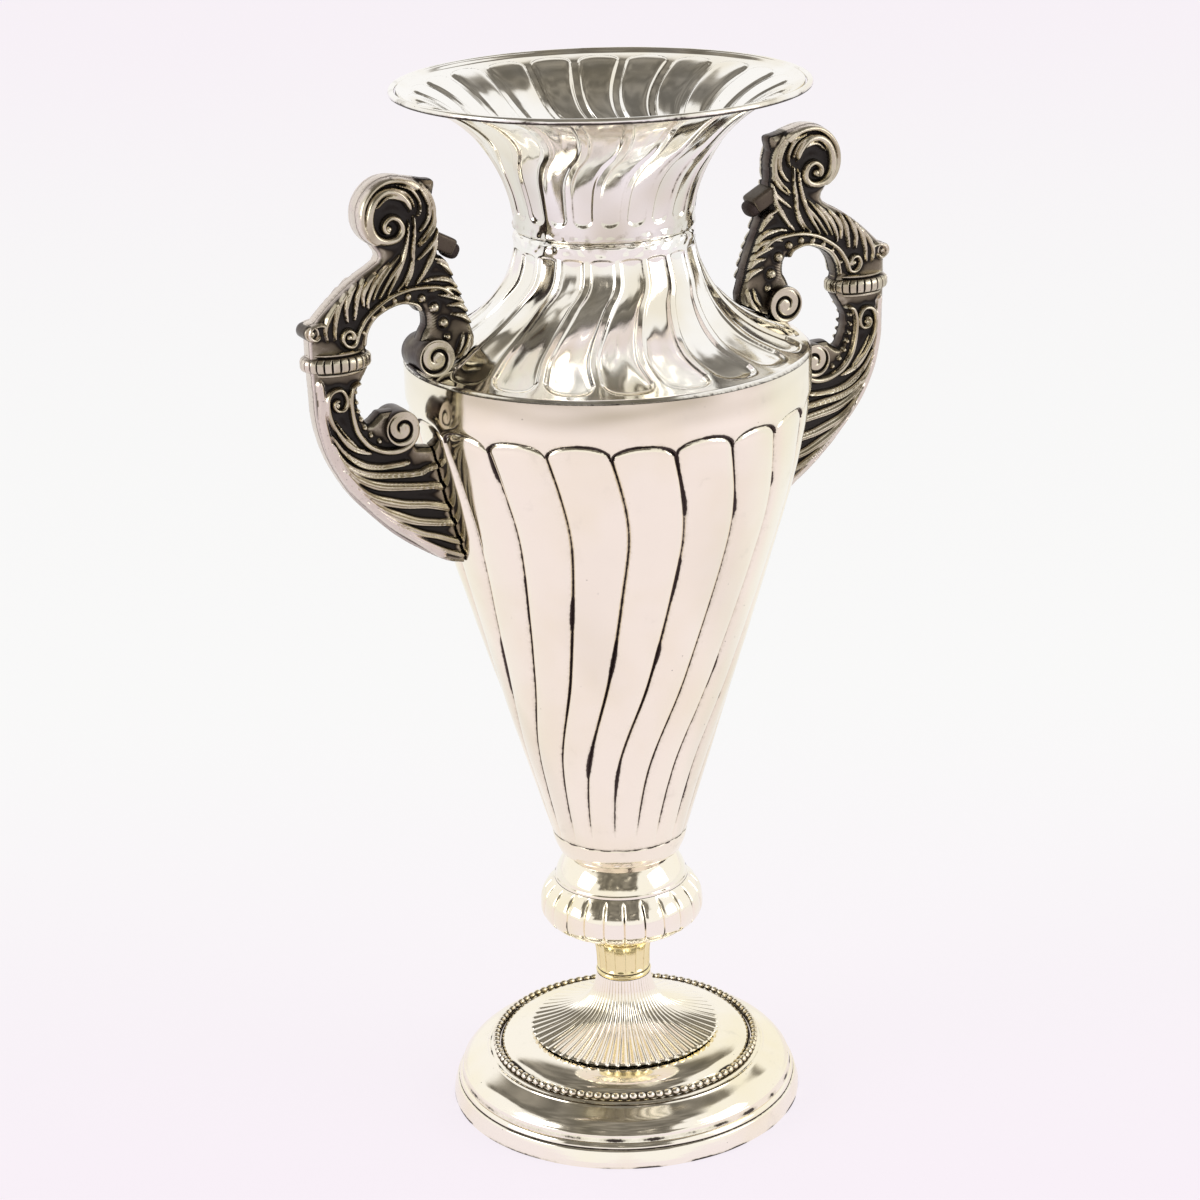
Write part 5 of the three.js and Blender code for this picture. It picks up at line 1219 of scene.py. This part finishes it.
def floor():
    size = 30000.0
    piece = make_mesh("floor", [(-size, -size, -0.4), (size, -size, -0.4), (size, size, -0.4), (-size, size, -0.4)],
                      [(0, 1, 2, 3)])
    material = bpy.data.materials.new("floor_paper")
    material.use_nodes = True
    tree = material.node_tree
    tree.nodes.clear()
    place = node(tree, "ShaderNodeTexCoord").outputs["Object"]
    # painted shade on the floor: its colour runs from a darker pink near the camera to white, and to a faint pink far
    # off
    far = node(tree, "ShaderNodeVectorMath", operation="DOT_PRODUCT")
    tree.links.new(place, far.inputs[0])
    far.inputs[1].default_value = -TO_CAMERA
    share = node(tree, "ShaderNodeMapRange", interpolation_type="SMOOTHSTEP",
                 sockets={"Value": far.outputs["Value"], "From Min": -0.3, "From Max": 0.7}).outputs[0]
    near = node(tree, "ShaderNodeMix", data_type="RGBA")
    tree.links.new(share, near.inputs[0])
    near.inputs[6].default_value = (0.985, 0.91, 0.985, 1)
    near.inputs[7].default_value = (1.0, 1.0, 1.0, 1)
    beyond = node(tree, "ShaderNodeMapRange", interpolation_type="SMOOTHSTEP",
                  sockets={"Value": far.outputs["Value"], "From Min": 1.2, "From Max": 4.5}).outputs[0]
    color = node(tree, "ShaderNodeMix", data_type="RGBA")
    tree.links.new(beyond, color.inputs[0])
    tree.links.new(near.outputs[2], color.inputs[6])
    color.inputs[7].default_value = (1.0, 0.945, 1.0, 1)
    diffuse = node(tree, "ShaderNodeBsdfDiffuse", sockets={"Color": color.outputs[2]})
    glow = node(tree, "ShaderNodeEmission", sockets={"Color": color.outputs[2], "Strength": 1.0})
    path = node(tree, "ShaderNodeLightPath")
    seen = node(tree, "ShaderNodeMath", operation="MAXIMUM",
                sockets={0: path.outputs["Is Camera Ray"], 1: path.outputs["Is Glossy Ray"]})
    seen = node(tree, "ShaderNodeMath", operation="MAXIMUM",
                sockets={0: seen.outputs[0], 1: path.outputs["Is Transmission Ray"]})
    part = node(tree, "ShaderNodeMath", operation="MULTIPLY", sockets={0: seen.outputs[0], 1: 0.84})
    mix = node(tree, "ShaderNodeMixShader", sockets={
        0: part.outputs[0], 1: diffuse.outputs[0], 2: glow.outputs[0]})
    output = node(tree, "ShaderNodeOutputMaterial")
    tree.links.new(mix.outputs[0], output.inputs[0])
    piece.data.materials.append(material)


def surroundings():
    """White tent with a dim opening from the front, over the top and part of the way down behind."""
    world = bpy.data.worlds.new("studio")
    bpy.context.scene.world = world
    world.use_nodes = True
    tree = world.node_tree
    tree.nodes.clear()
    way = node(tree, "ShaderNodeTexCoord").outputs["Generated"]

    def toward(axis):
        made = node(tree, "ShaderNodeVectorMath", operation="DOT_PRODUCT")
        tree.links.new(way, made.inputs[0])
        made.inputs[1].default_value = axis
        return made.outputs["Value"]

    def maths(operation, a, b=0.0):
        made = node(tree, "ShaderNodeMath", operation=operation)
        for socket, value in zip(made.inputs, (a, b)):
            if isinstance(value, bpy.types.NodeSocket):
                tree.links.new(value, socket)
            else:
                socket.default_value = value
        return made.outputs[0]

    def span(value, low, high, to_low=0.0, to_high=1.0):
        return node(tree, "ShaderNodeMapRange", interpolation_type="SMOOTHSTEP", sockets={
            "Value": value, "From Min": low, "From Max": high, "To Min": to_low, "To Max": to_high}).outputs[0]

    def noise(scale, detail):
        return node(tree, "ShaderNodeTexNoise", sockets={"Vector": way, "Scale": scale, "Detail": detail}).outputs[0]

    right, front, up = toward(TO_RIGHT), toward(TO_CAMERA), toward((0, 0, 1))
    ragged = maths("MULTIPLY", maths("SUBTRACT", noise(3.0, 2.0), 0.5), 0.35)
    sideways = maths("ADD", maths("ABSOLUTE", maths("ADD", right, 0.09)), ragged)
    over = maths("ADD", maths("ARCTAN2", up, front), maths("MULTIPLY", ragged, 0.8))
    opening = maths("MULTIPLY", span(sideways, 0.57, 0.51), maths("MULTIPLY", span(over, 0.24, 0.36), span(over, 2.46, 2.30)))
    room = span(noise(6.0, 3.0), 0.35, 0.75, 0.15, 0.34)
    lamp = span(noise(9.0, 1.0), 0.66, 0.70, 0.0, 0.9)
    room = maths("ADD", room, maths("MULTIPLY", lamp, span(over, 1.1, 0.6)))
    level = maths("ADD", maths("MULTIPLY", opening, room), maths("MULTIPLY", maths("SUBTRACT", 1.0, opening), 1.0))
    tint = node(tree, "ShaderNodeMix", data_type="RGBA")
    tree.links.new(opening, tint.inputs[0])
    tint.inputs[6].default_value = (1.0, 0.985, 0.975, 1)
    tint.inputs[7].default_value = (1.0, 0.92, 0.80, 1)
    tent = node(tree, "ShaderNodeBackground")
    tree.links.new(tint.outputs[2], tent.inputs["Color"])
    tree.links.new(level, tent.inputs["Strength"])
    plain = node(tree, "ShaderNodeBackground", sockets={"Color": (1.0, 0.94, 1.0, 1), "Strength": 1.0})
    path = node(tree, "ShaderNodeLightPath")
    mix = node(tree, "ShaderNodeMixShader", sockets={
        0: path.outputs["Is Camera Ray"], 1: tent.outputs[0], 2: plain.outputs[0]})
    output = node(tree, "ShaderNodeOutputWorld")
    tree.links.new(mix.outputs[0], output.inputs[0])


def soft_lamp(name, place, size, power):
    light = bpy.data.lights.new(name, "AREA")
    light.shape, light.size, light.energy = "SQUARE", size, power
    light.color = (1.0, 0.985, 0.97)
    lamp = bpy.data.objects.new(name, light)
    bpy.context.scene.collection.objects.link(lamp)
    lamp.location = place
    lamp.rotation_mode = "QUATERNION"
    lamp.rotation_quaternion = (Vector((0, 0, 0.3)) - Vector(place)).to_track_quat("-Z", "Y")


def camera():
    turn, pan, pitch, roll = -27 * RAD, -0.004953, 0.340524, -0.028111
    ahead = Vector((math.sin(pan) * math.cos(pitch), math.cos(pan) * math.cos(pitch), -math.sin(pitch)))
    level = Vector((math.cos(pan), -math.sin(pan), 0))
    above = level.cross(ahead)
    right = math.cos(roll) * level + math.sin(roll) * above
    up = -math.sin(roll) * level + math.cos(roll) * above
    spin = Matrix.Rotation(turn, 3, "Z")
    right, up, ahead = spin @ right, spin @ up, spin @ ahead
    data = bpy.data.cameras.new("camera")
    data.lens, data.sensor_width = 88.94, 36.0
    data.clip_end = 100
    made = bpy.data.objects.new("camera", data)
    bpy.context.scene.collection.objects.link(made)
    place = spin @ Vector((0, -1.58005, 0.86621))
    made.matrix_world = Matrix.Translation(place) @ Matrix((right, up, -ahead)).transposed().to_4x4()
    bpy.context.scene.camera = made


floor()
surroundings()
soft_lamp("lamp_left", tuple(Vector((0, 0, 0.9)) - TO_RIGHT * 1.7 + TO_CAMERA * 0.7), 1.0, 9.0)
soft_lamp("lamp_right", tuple(Vector((0, 0, 0.9)) + TO_RIGHT * 1.7 + TO_CAMERA * 0.5), 1.0, 7.0)
camera()
bpy.context.scene.view_settings.view_transform = "Standard"
